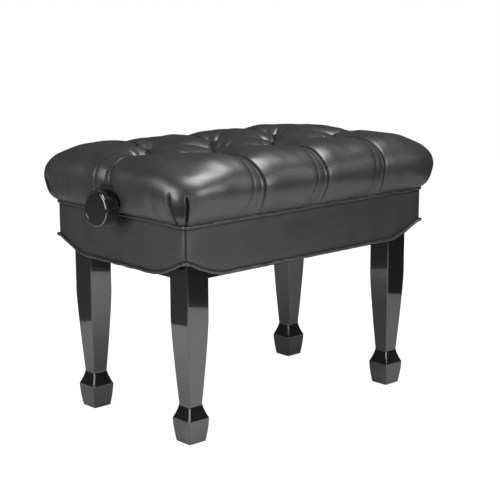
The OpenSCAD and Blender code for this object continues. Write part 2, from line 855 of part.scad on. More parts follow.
// Flanged roller that runs in a slot, its flange against the web's inner face
module flanged_roller(bore, y0, y1, x, z) {
  difference() {
    union() {
      rod_y(roller_r, y0, y1, x, z);
      rod_y(roller_r + roller_flange, y0, y0 + side_gap - 0.4, x, z);
    }
    rod_y(bore + set_fit, y0 - 1, y1 + 1, x, z);
  }
}

module upper_rollers() {
  color([0.85, 0.84, 0.8]) for (side = [FRONT, BACK]) on_side(side)
    flanged_roller(pin_r, outer_arm_out + 0.1, web_up_out + 0.2, pivot_x, up_pivot_z);
}

module inner_arm(side) {
  color([0.5, 0.51, 0.53]) on_side(side) difference() {
    flat_arm(-pivot_x, up_pivot_z, pivot_x, low_pivot_z, inner_arm_in, inner_arm_out);
    rod_y(rod_r + run_fit, inner_arm_in - 1, inner_arm_out + 1, -pivot_x, up_pivot_z);
    rod_y(rod_r + set_fit, inner_arm_in - 1, inner_arm_out + 1, pivot_x, low_pivot_z);
    rod_y(pin_r + centre_play, inner_arm_in - 1, inner_arm_out + 1, 0, centre_z);
  }
}

module inner_arm_front() inner_arm(FRONT);
module inner_arm_back() inner_arm(BACK);

module inner_arm_rod() {
  color([0.7, 0.7, 0.72]) rod_y(rod_r, -web_low_out + 0.5, web_low_out - 0.5, pivot_x, low_pivot_z);
}

module lower_rollers() {
  color([0.85, 0.84, 0.8]) for (side = [FRONT, BACK]) on_side(side)
    flanged_roller(rod_r, web_low_in - side_gap + 0.1, web_low_out - 0.4, pivot_x, low_pivot_z);
}

// ---------- nodes ----------

leg_front_left();
leg_front_right();
leg_back_left();
leg_back_right();
foot_glides();
rail_front();
rail_back();
rail_left();
rail_right();
corner_bracket_front_left();
corner_bracket_front_right();
corner_bracket_back_left();
corner_bracket_back_right();
hanger_bolts();
hanger_nuts();
base_screws();
lower_channel_front();
lower_channel_back();
lower_pivot_rod();
seat_board();
box_board_front();
box_board_back();
box_board_left();
box_board_right();
seat_board_screws();
skirt_cover();
top_welt();
bottom_welt();
cushion_pad();
side_roll_front();
side_roll_back();
side_roll_left();
side_roll_right();
tuft_buttons();
tuft_ties();
upper_channel_front();
upper_channel_back();
shoulder_bolts();
shaft_bush_left();
shaft_bush_right();
thrust_block();
under_board_screws();
lead_screw();
knob_left();
knob_right();
thrust_collars();
grub_screws();
nut_bar();
drive_nut();
outer_arm_front();
outer_arm_back();
outer_arm_tube();
outer_arm_pins();
upper_rollers();
inner_arm_front();
inner_arm_back();
inner_arm_rod();
lower_rollers();
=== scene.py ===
"""Dresses a height-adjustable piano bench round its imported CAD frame.

Metres, +Z up, +X along the seat, seat fully down. Sizes kept in the classes
are in millimetres, as a maker writes them, and MM turns them into metres.
"""

import enum
import json
import logging
import math
from dataclasses import dataclass
from typing import Callable, Iterator, Sequence

import bpy
import numpy as np
from mathutils import Matrix, Vector


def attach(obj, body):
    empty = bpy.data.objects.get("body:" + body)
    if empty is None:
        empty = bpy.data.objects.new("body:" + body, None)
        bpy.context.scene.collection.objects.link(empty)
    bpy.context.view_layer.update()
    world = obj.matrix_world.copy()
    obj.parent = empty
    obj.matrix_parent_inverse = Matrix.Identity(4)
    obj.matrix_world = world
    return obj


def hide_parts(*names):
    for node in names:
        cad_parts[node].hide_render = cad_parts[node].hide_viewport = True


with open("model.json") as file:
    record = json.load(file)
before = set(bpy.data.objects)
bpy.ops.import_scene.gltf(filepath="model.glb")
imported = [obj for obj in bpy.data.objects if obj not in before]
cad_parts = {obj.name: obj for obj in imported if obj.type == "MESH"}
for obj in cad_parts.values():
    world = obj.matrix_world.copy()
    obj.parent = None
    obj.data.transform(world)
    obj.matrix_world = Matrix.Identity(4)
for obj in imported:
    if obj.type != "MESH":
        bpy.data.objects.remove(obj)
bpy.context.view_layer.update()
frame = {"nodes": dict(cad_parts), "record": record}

MM = 0.001
LOG = logging.getLogger("piano_bench")

Point = tuple[float, float, float]
Spot = tuple[float, float]
# places along a line, and the value at each
Curve = tuple[tuple[float, ...], tuple[float, ...]]
# where a change starts, and how long it takes
Ramp = tuple[float, float]
# waves a metre, detail and roughness of a noise
Cloud = tuple[float, float, float]
# three values for each vertex
Dent = tuple[np.ndarray, np.ndarray, np.ndarray]


class Body(enum.Enum):
    """The CAD bodies that the pieces made here ride on."""

    BASE = "base"
    SEAT = "seat"
    LIFT_SHAFT = "lift_shaft"


class Side(enum.IntEnum):
    """Sign of a side or an end of the bench."""

    LOW = -1
    HIGH = 1


# ---------- helpers for operators ----------


def clear_selection() -> None:
    """Leaves object mode with nothing selected, so an operator acts on its own piece alone."""
    if bpy.context.mode != "OBJECT":
        bpy.ops.object.mode_set(mode="OBJECT")
    bpy.ops.object.select_all(action="DESELECT")


def make_active(piece: bpy.types.Object) -> None:
    """Selects one piece and makes it the active one."""
    clear_selection()
    piece.select_set(True)
    bpy.context.view_layer.objects.active = piece


def name_piece(name: str) -> bpy.types.Object:
    """Names the active object and its mesh.

    Args:
        name: the piece's name.

    Returns:
        The object.
    """
    piece = bpy.context.object
    piece.name = name
    piece.data.name = name
    return piece


def edit(piece: bpy.types.Object, mode: str = "VERT") -> None:
    """Enters edit mode on a piece with nothing selected in it.

    Args:
        piece: the object to edit.
        mode: VERT, EDGE or FACE.
    """
    make_active(piece)
    bpy.ops.object.mode_set(mode="EDIT")
    bpy.ops.mesh.select_mode(type=mode)
    bpy.ops.mesh.select_all(action="DESELECT")


def pick(piece: bpy.types.Object, kind: str, test: Callable[[Vector], bool]) -> None:
    """Selects the elements of a piece whose middle passes a test, in edit mode.

    Args:
        piece: the object being edited.
        kind: VERT, EDGE or FACE.
        test: takes the middle of an element, in metres.
    """
    bpy.ops.mesh.select_mode(type=kind)
    bpy.ops.mesh.select_all(action="DESELECT")
    bpy.ops.object.mode_set(mode="OBJECT")
    mesh = piece.data
    if kind == "VERT":
        found = [v for v in mesh.vertices if test(v.co)]
    elif kind == "EDGE":
        ends = [[mesh.vertices[v].co for v in e.vertices] for e in mesh.edges]
        found = [e for e, (a, b) in zip(mesh.edges, ends) if test((a + b) / 2)]
    else:
        found = [f for f in mesh.polygons if test(f.center)]
    for element in found:
        element.select = True
    bpy.ops.object.mode_set(mode="EDIT")


def leave_edit() -> None:
    """Returns to object mode."""
    bpy.ops.object.mode_set(mode="OBJECT")


def points_of(piece: bpy.types.Object) -> np.ndarray:
    """The vertices of a piece as an array of rows, in metres."""
    co = np.empty(len(piece.data.vertices) * 3)
    piece.data.vertices.foreach_get("co", co)
    return co.reshape(-1, 3)


def lay_points(piece: bpy.types.Object, points: np.ndarray) -> None:
    """Puts the vertices of a piece at new places.

    Args:
        piece: the piece, in object mode.
        points: one row for each vertex, in metres.
    """
    flat = np.ascontiguousarray(points, dtype=np.float64).ravel()
    piece.data.vertices.foreach_set("co", flat)
    piece.data.update()


def normals_of(piece: bpy.types.Object) -> np.ndarray:
    """The vertex normals of a piece as an array of rows."""
    out = np.empty(len(piece.data.vertices) * 3, np.float32)
    piece.data.vertex_normals.foreach_get("vector", out)
    return out.reshape(-1, 3).astype(float)


def store(piece: bpy.types.Object, name: str, values: np.ndarray) -> None:
    """Keeps one number for each vertex in an attribute of the mesh.

    Args:
        piece: the piece.
        name: the attribute's name.
        values: one number for each vertex.
    """
    attribute = piece.data.attributes.new(name, "FLOAT", "POINT")
    attribute.data.foreach_set("value", np.ascontiguousarray(values, dtype=np.float32))


def face_outward(piece: bpy.types.Object) -> None:
    """Turns all face normals outward.

    Args:
        piece: a closed piece.
    """
    edit(piece, "FACE")
    bpy.ops.mesh.select_all(action="SELECT")
    bpy.ops.mesh.normals_make_consistent(inside=False)
    leave_edit()


def shade(piece: bpy.types.Object, degrees: float | None = None) -> None:
    """Shades a piece smooth.

    Args:
        piece: the piece.
        degrees: the steepest edge that is smoothed, or None for all of them.
    """
    make_active(piece)
    if degrees is None:
        bpy.ops.object.shade_smooth()
    else:
        bpy.ops.object.shade_smooth_by_angle(angle=math.radians(degrees))


def apply_all(piece: bpy.types.Object) -> None:
    """Applies the modifiers of a piece in order."""
    make_active(piece)
    for modifier in list(piece.modifiers):
        bpy.ops.object.modifier_apply(modifier=modifier.name)


def dress(piece: bpy.types.Object, material: bpy.types.Material, body: Body) -> None:
    """Gives a piece its finish and the body that it rides on.

    Args:
        piece: a finished mesh, in place.
        material: what it is finished in.
        body: the CAD body that carries it.
    """
    piece.data.materials.clear()
    piece.data.materials.append(material)
    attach(piece, body.value)
    LOG.info("%s: %d vertices on %s", piece.name, len(piece.data.vertices), body.value)


def ease(t: np.ndarray | float) -> np.ndarray:
    """Smooth step from 0 to 1."""
    t = np.clip(t, 0.0, 1.0)
    return t * t * (3 - 2 * t)


def ramp(at: np.ndarray, start: float, run: np.ndarray | float) -> np.ndarray:
    """Smooth step that starts at a place and takes a run."""
    return ease((at - start) / run)


def read(curve: Curve, at: np.ndarray) -> np.ndarray:
    """The value of a curve at each place."""
    return np.interp(at, *curve)


def bump(off: np.ndarray, width: float) -> np.ndarray:
    """A soft ridge, 1 on its line."""
    return np.exp(-((off / width) ** 2))


def flank(off: np.ndarray, width: float) -> np.ndarray:
    """A sharp ridge, 1 on its line."""
    return np.exp(-np.abs(off) / width)


def lap(off: np.ndarray, above: float, below: float) -> np.ndarray:
    """A sharp ridge of one width above its line and another below."""
    return np.where(off > 0, flank(off, above), flank(off, below))


SWELL_WAVES = 7
SWELL_STRETCH = (0.7, 1.5)
SWELL_LEVEL = 3.2
CORNER_CUT = 0.25


def ripple(x: np.ndarray, y: np.ndarray, wave: float, seed: int) -> np.ndarray:
    """Soft uneven swell, about -1 to 1.

    Args:
        x: first coordinate.
        y: second coordinate.
        wave: typical distance between crests, in the same unit.
        seed: which swell.

    Returns:
        One height for each point.
    """
    rng = np.random.default_rng(seed)
    out = np.zeros_like(x, dtype=float)
    for _ in range(SWELL_WAVES):
        turn, phase = rng.uniform(0, math.tau), rng.uniform(0, math.tau)
        k = math.tau / (wave * rng.uniform(*SWELL_STRETCH))
        out += np.sin(k * (x * math.cos(turn) + y * math.sin(turn)) + phase)
    return out / SWELL_LEVEL


def rounded(path: Sequence[Sequence[float]], passes: int = 4) -> np.ndarray:
    """Cuts the corners of an open line until it is smooth, keeping its ends.

    Args:
        path: the line's points.
        passes: how many times its corners are cut.

    Returns:
        The smooth line's points.
    """
    line = np.array(path, float)
    for _ in range(passes):
        q = line[:-1] * (1 - CORNER_CUT) + line[1:] * CORNER_CUT
        r = line[:-1] * CORNER_CUT + line[1:] * (1 - CORNER_CUT)
        line = np.vstack([line[:1], np.stack([q, r], 1).reshape(-1, line.shape[1]), line[-1:]])
    return line


def spaced(line: np.ndarray, count: int) -> np.ndarray:
    """Points at even distances along a line.

    Args:
        line: the line's points.
        count: how many points come back.

    Returns:
        The new points, as many columns as the line has.
    """
    steps = np.linalg.norm(np.diff(line, axis=0), axis=1)
    length = np.concatenate([[0], np.cumsum(steps)])
    at = np.linspace(0, length[-1], count)
    return np.stack([np.interp(at, length, line[:, k]) for k in range(line.shape[1])], 1)


# ---------- finishes ----------


class NodeBench:
    """A material's node tree, with one short method for each kind of node."""

    def __init__(self, name: str) -> None:
        """Starts a material with its own shader.

        Args:
            name: the material's name.
        """
        self.material = bpy.data.materials.new(name)
        self.material.use_nodes = True
        self.tree = self.material.node_tree
        self.shader = next(n for n in self.tree.nodes if n.type == "BSDF_PRINCIPLED")
        self.place = self.add("ShaderNodeTexCoord").outputs["Object"]

    def add(self, kind: str, **settings: object) -> bpy.types.Node:
        """Adds a node and sets its properties.

        Args:
            kind: the node's type.
            settings: its properties, by name.

        Returns:
            The node.
        """
        node = self.tree.nodes.new(kind)
        for key, value in settings.items():
            setattr(node, key, value)
        return node

    def put(self, socket: bpy.types.NodeSocket, value: object) -> None:
        """Links a socket to another, or sets its value."""
        if isinstance(value, bpy.types.NodeSocket):
            self.tree.links.new(value, socket)
        else:
            socket.default_value = value

    def set(self, **values: object) -> None:
        """Sets or links inputs of the shader, named with _ for a space."""
        for key, value in values.items():
            self.put(self.shader.inputs[key.replace("_", " ")], value)

    def stretch(self, scale: Point, turn: Point = (0, 0, 0)) -> bpy.types.NodeSocket:
        """The place on the object, scaled along each axis and turned.

        Args:
            scale: scale along each axis.
            turn: turn about each axis, in radians.

        Returns:
            The socket to link a texture to.
        """
        node = self.add("ShaderNodeMapping")
        self.put(node.inputs["Vector"], self.place)
        node.inputs["Scale"].default_value = scale
        node.inputs["Rotation"].default_value = turn
        return node.outputs["Vector"]

    def noise(self, scale: float, detail: float, rough: float, at: object = None,
              twist: float = 0.0) -> bpy.types.NodeSocket:
        """Cloudy noise.

        Args:
            scale: waves a metre.
            detail: how many finer layers are added.
            rough: strength of the finer layers.
            at: the place that it is read at, or None for the object's own.
            twist: how much it is distorted.

        Returns:
            The noise, about 0 to 1.
        """
        node = self.add("ShaderNodeTexNoise")
        self.put(node.inputs["Vector"], self.place if at is None else at)
        node.inputs["Scale"].default_value = scale
        node.inputs["Detail"].default_value = detail
        node.inputs["Roughness"].default_value = rough
        node.inputs["Distortion"].default_value = twist
        return node.outputs["Fac"]

    def cells(self, scale: float) -> bpy.types.NodeSocket:
        """Distance to the nearest of scattered points, for pebbles and dust.

        Args:
            scale: points a metre.

        Returns:
            The distance, in spacings.
        """
        node = self.add("ShaderNodeTexVoronoi", feature="F1")
        self.put(node.inputs["Vector"], self.place)
        node.inputs["Scale"].default_value = scale
        return node.outputs["Distance"]

    def span(self, value: object, low: float, high: float, to_low: float, to_high: float
             ) -> bpy.types.NodeSocket:
        """Maps a range of a value to another range, clamped.

        Args:
            value: a socket.
            low: where the range starts.
            high: where the range ends.
            to_low: the result at its start.
            to_high: the result at its end.

        Returns:
            The mapped value.
        """
        node = self.add("ShaderNodeMapRange")
        self.put(node.inputs["Value"], value)
        keys = ("From Min", "From Max", "To Min", "To Max")
        for key, number in zip(keys, (low, high, to_low, to_high)):
            node.inputs[key].default_value = number
        return node.outputs["Result"]

    def sum(self, a: object, b: object, how: str = "ADD") -> bpy.types.NodeSocket:
        """Arithmetic on two values.

        Args:
            a: a socket or a number.
            b: a socket or a number.
            how: the operation.

        Returns:
            The result.
        """
        node = self.add("ShaderNodeMath", operation=how)
        self.put(node.inputs[0], a)
        self.put(node.inputs[1], b)
        return node.outputs[0]

    def blend(self, share: object, a: object, b: Sequence[float]) -> bpy.types.NodeSocket:
        """A colour between two others.

        Args:
            share: how much of b shows, a socket or a number.
            a: a socket or a colour.
            b: a colour.

        Returns:
            The mixed colour.
        """
        node = self.add("ShaderNodeMix", data_type="RGBA")
        self.put(node.inputs[0], share)
        for socket, colour in ((node.inputs[6], a), (node.inputs[7], b)):
            linked = isinstance(colour, bpy.types.NodeSocket)
            self.put(socket, colour if linked else (*colour, 1.0))
        return node.outputs[2]

    def relief(self, height: object, depth: float, strength: float = 1.0, below: object = None
               ) -> bpy.types.NodeSocket:
        """Bump.

        Args:
            height: the value that rises and falls.
            depth: the height of a full step of the value, in metres.
            strength: how much of it shows.
            below: the bump that it lies on.

        Returns:
            The bent normal.
        """
        node = self.add("ShaderNodeBump")
        node.inputs["Strength"].default_value = strength
        node.inputs["Distance"].default_value = depth
        self.put(node.inputs["Height"], height)
        if below is not None:
            self.put(node.inputs["Normal"], below)
        return node.outputs["Normal"]

    def attribute(self, name: str) -> bpy.types.NodeSocket:
        """A number kept on the mesh."""
        return self.add("ShaderNodeAttribute", attribute_name=name).outputs["Fac"]


def scaled(colour: Point, share: float, plus: float = 0.0) -> Point:
    """A colour made darker or lighter by a share."""
    return tuple(c * share + plus for c in colour)


@dataclass(frozen=True)
class Leather:
    """Satin black leather: fine pebble grain, soft creases, and painted shade that makes it darker
    and duller in its folds.
    """

    name: str
    colour: Point = (0.015, 0.0148, 0.0153)
    worn: Point = (0.018, 0.0177, 0.0183)
    # colour and shine painted into the folds as shade
    painted_fold_shade: Point = (0.004, 0.004, 0.004)
    roughness: float = 0.39
    fold_roughness: float = 0.12
    shine: float = 0.5
    painted_shade_shine: float = 0.04
    refraction: float = 1.58
    grain: float = 1.5
    grain_depth: float = 0.05
    crease_depth: float = 0.12
    # when set, the fold attribute paints shade: darker colour and less shine in creases
    folds: bool = False
    clouds: Cloud = (22, 4, 0.55)
    pores: Cloud = (1400, 2, 0.6)
    creases: Cloud = (70, 5, 0.62)

    def make(self) -> bpy.types.Material:
        """Builds the material."""
        b = NodeBench(self.name)
        cloud = b.noise(*self.clouds)
        pebble = b.cells(1 / (self.grain * MM))
        pores = b.noise(*self.pores)
        tone = b.blend(b.span(cloud, 0.35, 0.68, 0, 1), self.colour, self.worn)
        rough = b.span(cloud, 0.3, 0.7, self.roughness - 0.015, self.roughness + 0.02)
        if self.folds:
            # painted shade: the fold attribute darkens the colour and dims the shine in creases,
            # button pits, corner panels, seams and beside the welts
            fold = b.attribute("fold")
            tone = b.blend(fold, tone, self.painted_fold_shade)
            rough = b.sum(rough, b.span(fold, 0, 1, 0, self.fold_roughness))
            b.set(Specular_IOR_Level=b.span(fold, 0, 1, self.shine, self.painted_shade_shine))
        b.set(Base_Color=tone, Roughness=rough, IOR=self.refraction)
        pitted = b.sum(pebble, b.span(pores, 0, 1, 0, 0.5))
        grain = b.relief(pitted, self.grain_depth * MM)
        lines = b.noise(*self.creases, twist=0.6)
        b.set(Normal=b.relief(lines, self.crease_depth * MM, below=grain))
        return b.material


@dataclass(frozen=True)
class Lacquer:
    """Polished black lacquer over wood: mirror gloss with a faint swell and a few dust nibs."""

    name: str
    colour: Point = (0.0035, 0.0035, 0.0038)
    roughness: float = 0.05
    refraction: float = 1.5
    swell: float = 0.08
    haze_roughness: float = 0.05
    haze_tint: float = 1.7
    coat_roughness: float = 0.015
    nib_height: float = 0.004
    nibs: float = 260
    haze: Cloud = (35, 4, 0.6)
    waves: Cloud = (28, 2, 0.4)

    def make(self) -> bpy.types.Material:
        """Builds the material."""
        b = NodeBench(self.name)
        haze = b.noise(*self.haze)
        b.set(
            Base_Color=b.blend(haze, self.colour, scaled(self.colour, self.haze_tint)),
            Roughness=b.span(haze, 0.3, 0.75, self.roughness, self.roughness + self.haze_roughness),
            IOR=self.refraction,
            Coat_Weight=1.0,
            Coat_Roughness=self.coat_roughness,
            Coat_IOR=self.refraction,
        )
        swell = b.noise(*self.waves)
        nibs = b.span(b.cells(self.nibs), 0.0, 0.10, 1, 0)
        skin = b.relief(swell, self.swell * MM, 0.6)
        b.set(Normal=b.relief(nibs, self.nib_height * MM, 0.5, skin), Coat_Normal=skin)
        return b.material


@dataclass(frozen=True)
class Metal:
    """Bare or plated steel, brass or a blackened steel, with fine brushing and handling marks."""

    name: str
    colour: Point
    roughness: float = 0.28
    brushing: Point = (18, 400, 400)
    tint: Point | None = None
    marks: Cloud = (60, 5, 0.65)

    def make(self) -> bpy.types.Material:
        """Builds the material."""
        b = NodeBench(self.name)
        lines = b.noise(1.0, 3, 0.6, b.stretch(self.brushing))
        spots = b.noise(*self.marks)
        other = self.tint or scaled(self.colour, 0.62)
        brushed = b.span(lines, 0.3, 0.7, self.roughness - 0.06, self.roughness + 0.1)
        b.set(
            Base_Color=b.blend(b.span(spots, 0.42, 0.75, 0, 0.8), self.colour, other),
            Metallic=1.0,
            Roughness=b.sum(brushed, b.span(spots, 0.4, 0.8, 0, 0.12)),
            Normal=b.relief(lines, 0.01 * MM, 0.5),
        )
        return b.material


@dataclass(frozen=True)
class PowderCoat:
    """Satin black powder coat or paint, with its fine orange peel."""

    name: str
    colour: Point
    roughness: float = 0.42
    peel: float = 0.03
    orange_peel: Cloud = (700, 2, 0.5)
    dust: Cloud = (45, 5, 0.6)

    def make(self) -> bpy.types.Material:
        """Builds the material."""
        b = NodeBench(self.name)
        peel = b.noise(*self.orange_peel)
        dust = b.noise(*self.dust)
        b.set(
            Base_Color=b.blend(
                b.span(dust, 0.45, 0.8, 0, 0.7), self.colour, scaled(self.colour, 1.6, 0.01)),
            Roughness=b.span(dust, 0.3, 0.7, self.roughness - 0.05, self.roughness + 0.1),
            Normal=b.relief(peel, self.peel * MM, 0.8),
        )
        return b.material


@dataclass(frozen=True)
class Plywood:
    """Birch plywood: long grain on its faces, layers on its edges."""

    name: str
    light: Point = (0.72, 0.54, 0.34)
    dark: Point = (0.50, 0.33, 0.18)
    layer: float = 1.5
    grain: Point = (7, 90, 90)
    pores: Point = (40, 900, 900)

    def make(self) -> bpy.types.Material:
        """Builds the material."""
        b = NodeBench(self.name)
        grain = b.noise(1.0, 6, 0.62, b.stretch(self.grain), twist=0.7)
        pores = b.noise(1.0, 2, 0.5, b.stretch(self.pores))
        face = b.blend(b.span(grain, 0.3, 0.72, 0, 1), self.light, self.dark)
        split = b.add("ShaderNodeSeparateXYZ")
        b.put(split.inputs[0], b.place)
        turn = math.tau / (2 * self.layer * MM)
        wave = b.sum(b.sum(split.outputs["Z"], turn, "MULTIPLY"), 0, "SINE")
        facing = b.add("ShaderNodeNewGeometry")
        parts = b.add("ShaderNodeSeparateXYZ")
        b.put(parts.inputs[0], facing.outputs["True Normal"])
        upright = b.span(b.sum(parts.outputs["Z"], 0, "ABSOLUTE"), 0.3, 0.6, 1, 0)
        layers = b.sum(b.span(wave, -0.2, 0.2, 0, 0.75), upright, "MULTIPLY")
        b.set(
            Base_Color=b.blend(layers, face, scaled(self.dark, 0.62)),
            Roughness=b.span(grain, 0.3, 0.7, 0.52, 0.68),
            Normal=b.relief(pores, 0.05 * MM, 0.6),
        )
        return b.material


@dataclass(frozen=True)
class Moulding:
    """Nylon or another plain plastic, with a soft moulded skin."""

    name: str
    colour: Point
    roughness: float = 0.4
    scatter: float = 0.0
    skin: Cloud = (300, 3, 0.5)

    def make(self) -> bpy.types.Material:
        """Builds the material."""
        b = NodeBench(self.name)
        skin = b.noise(*self.skin)
        b.set(
            Base_Color=b.blend(
                b.span(skin, 0.4, 0.8, 0, 0.5), self.colour, scaled(self.colour, 0.86)),
            Roughness=b.span(skin, 0.3, 0.7, self.roughness - 0.05, self.roughness + 0.06),
            Subsurface_Weight=self.scatter,
            Subsurface_Radius=(0.002, 0.002, 0.0015),
            Normal=b.relief(skin, 0.02 * MM, 0.6),
        )
        return b.material


@dataclass(frozen=True)
class Twine:
    """Waxed twine, laid up of two strands."""

    name: str
    colour: Point = (0.74, 0.68, 0.56)
    strands: Point = (900, 900, 350)

    def make(self) -> bpy.types.Material:
        """Builds the material."""
        b = NodeBench(self.name)
        lay = b.noise(1.0, 2, 0.5, b.stretch(self.strands), twist=1.2)
        b.set(
            Base_Color=b.blend(lay, self.colour, scaled(self.colour, 0.55)),
            Roughness=b.span(lay, 0.3, 0.7, 0.5, 0.7),
            Sheen_Weight=0.3,
            Normal=b.relief(lay, 0.2 * MM, 0.9),
        )
        return b.material


# ---------- camera and studio ----------


@dataclass
class BenchCamera:
    """The camera, looking down a little at the front left corner."""

    place: Point = (-1.62022, -1.77950, 0.77507)
    yaw: float = -42.571
    pitch: float = 11.892
    roll: float = -0.189
    lens: float = 98.434
    sensor: float = 36.0
    far: float = 60.0

    def build(self) -> bpy.types.Object:
        """Makes the camera and hands it to the scene."""
        a, e, r = (math.radians(v) for v in (self.yaw, self.pitch, self.roll))
        back = Vector((math.sin(a) * math.cos(e), -math.cos(a) * math.cos(e), math.sin(e)))
        right = Vector((math.cos(a), math.sin(a), 0.0))
        up = back.cross(right)
        x_axis = right * math.cos(r) + up * math.sin(r)
        y_axis = up * math.cos(r) - right * math.sin(r)
        turn = Matrix((x_axis, y_axis, back)).transposed()
        bpy.ops.object.camera_add(location=self.place, rotation=turn.to_euler())
        camera = bpy.context.object
        camera.name = "bench_camera"
        camera.data.lens = self.lens
        camera.data.sensor_width = self.sensor
        camera.data.clip_end = self.far
        bpy.context.scene.camera = camera
        return camera


@dataclass(frozen=True)
class Softbox:
    """A flat square or oblong lamp that faces a point."""

    name: str
    place: Point
    aim: Point
    wide: float
    high: float
    watts: float

    def build(self) -> None:
        """Hangs the lamp."""
        turn = (Vector(self.place) - Vector(self.aim)).to_track_quat("Z", "Y").to_euler()
        bpy.ops.object.light_add(type="AREA", location=self.place, rotation=turn)
        lamp = bpy.context.object
        lamp.name = self.name
        lamp.data.shape = "RECTANGLE"
        lamp.data.size, lamp.data.size_y = self.wide, self.high
        lamp.data.energy = self.watts


@dataclass
class Studio:
    """A pale floor without an edge, a pale surround and soft lamps."""

    turn: float = -42.571
    # left, right and front edge of the pale paper, in the camera's direction
    paper: Point = (-0.73, 0.82, -1.15)
    paper_edge: float = 0.012
    floor_size: float = 16.0
    floor_tone: float = 0.64
    # paper tone farther back, painted darker as shade
    painted_falloff_tone: float = 0.30
    painted_falloff_span: tuple[float, float] = (-0.3, 0.25)
    left_tone: float = 0.075
    right_tone: float = 0.012
    surround: float = 0.65
    mirror: float = 0.05
    seen_tone: float = 0.16
    seen_glow: float = 0.9
    lamps: tuple[Softbox, ...] = (
        Softbox("top_softbox", (0.28, -0.42, 2.0), (0.0, 0.0, 0.4), 1.15, 0.9, 46),
        Softbox("left_softbox", (-2.2, 0.15, 0.9), (0.0, 0.0, 0.3), 1.6, 1.5, 62),
        Softbox("right_softbox", (0.45, -2.6, 1.0), (0.0, 0.0, 0.3), 1.5, 1.4, 56),
        Softbox("corner_softbox", (-1.75, -1.95, 1.6), (0.0, 0.0, 0.3), 0.08, 0.3, 0.7),
        Softbox("strip_lamp", (1.4, -1.55, 1.4), (-0.3, 0.0, 0.4), 0.10, 0.5, 3),
    )

    def build(self) -> None:
        """Makes the floor, the surround and the lamps, and sets plain colours."""
        self._floor()
        self._surround()
        for lamp in self.lamps:
            lamp.build()
        bpy.context.scene.view_settings.view_transform = "Standard"

    def _floor(self) -> None:
        """Lays the floor and its paper, the paper with painted shade farther back."""
        bpy.ops.mesh.primitive_plane_add(size=self.floor_size)
        floor = name_piece("studio_floor")
        b = NodeBench("floor_paper")
        shader, tree = b.shader, b.tree
        split = b.add("ShaderNodeSeparateXYZ")
        b.put(split.inputs[0], b.stretch((1, 1, 1), (0, 0, math.radians(-self.turn))))
        side, deep = split.outputs["X"], split.outputs["Y"]
        left, right, front = self.paper
        # painted shade: for reflections and bounced light the paper darkens farther along the
        # camera's heading
        tone = b.span(deep, *self.painted_falloff_span, self.floor_tone, self.painted_falloff_tone)
        beyond = (
            (side, left, -self.paper_edge, self.left_tone),
            (side, right, self.paper_edge, self.right_tone),
            (deep, front, -self.paper_edge, self.right_tone),
        )
        for across, limit, step, edge_tone in beyond:
            low, high = sorted((limit, limit + step))
            share = b.span(across, low, high, float(step < 0), float(step > 0))
            kept = b.sum(tone, b.sum(1.0, share, "SUBTRACT"), "MULTIPLY")
            tone = b.sum(kept, b.sum(share, edge_tone, "MULTIPLY"))
        grey = b.add("ShaderNodeCombineColor")
        for channel in grey.inputs:
            b.put(channel, tone)
        b.set(Base_Color=grey.outputs[0], Roughness=0.6, Specular_IOR_Level=0.2)
        paths = b.add("ShaderNodeLightPath")
        paper = b.add("ShaderNodeBsdfDiffuse")
        paper.inputs["Color"].default_value = (*[self.seen_tone] * 3, 1)
        glow = b.add("ShaderNodeEmission")
        glow.inputs["Strength"].default_value = self.seen_glow
        seen = b.add("ShaderNodeAddShader")
        tree.links.new(paper.outputs[0], seen.inputs[0])
        tree.links.new(glow.outputs[0], seen.inputs[1])
        mix = b.add("ShaderNodeMixShader")
        tree.links.new(paths.outputs["Is Camera Ray"], mix.inputs[0])
        tree.links.new(shader.outputs[0], mix.inputs[1])
        tree.links.new(seen.outputs[0], mix.inputs[2])
        out = next(n for n in tree.nodes if n.type == "OUTPUT_MATERIAL")
        tree.links.new(mix.outputs[0], out.inputs["Surface"])
        floor.data.materials.append(b.material)

    def _surround(self) -> None:
        """Lights the scene softly from all round; white where the camera looks past the bench."""
        world = bpy.data.worlds.new("studio_surround")
        bpy.context.scene.world = world
        world.use_nodes = True
        tree = world.node_tree
        sky = next(n for n in tree.nodes if n.type == "BACKGROUND")
        out = next(n for n in tree.nodes if n.type == "OUTPUT_WORLD")
        paths = tree.nodes.new("ShaderNodeLightPath")
        strengths = (
            ("Is Camera Ray", 1.0 - self.surround),
            ("Is Glossy Ray", self.mirror - self.surround),
            ("Is Transmission Ray", 1.0 - self.surround),
        )
        total = None
        for ray, change in strengths:
            step = tree.nodes.new("ShaderNodeMath")
            step.operation = "MULTIPLY_ADD"
            tree.links.new(paths.outputs[ray], step.inputs[0])
            step.inputs[1].default_value = change
            if total is None:
                step.inputs[2].default_value = self.surround
            else:
                tree.links.new(total, step.inputs[2])
            total = step.outputs[0]
        sky.inputs["Color"].default_value = (1, 1, 1, 1)
        tree.links.new(total, sky.inputs["Strength"])
        tree.links.new(sky.outputs[0], out.inputs["Surface"])


# ---------- tufted seat ----------


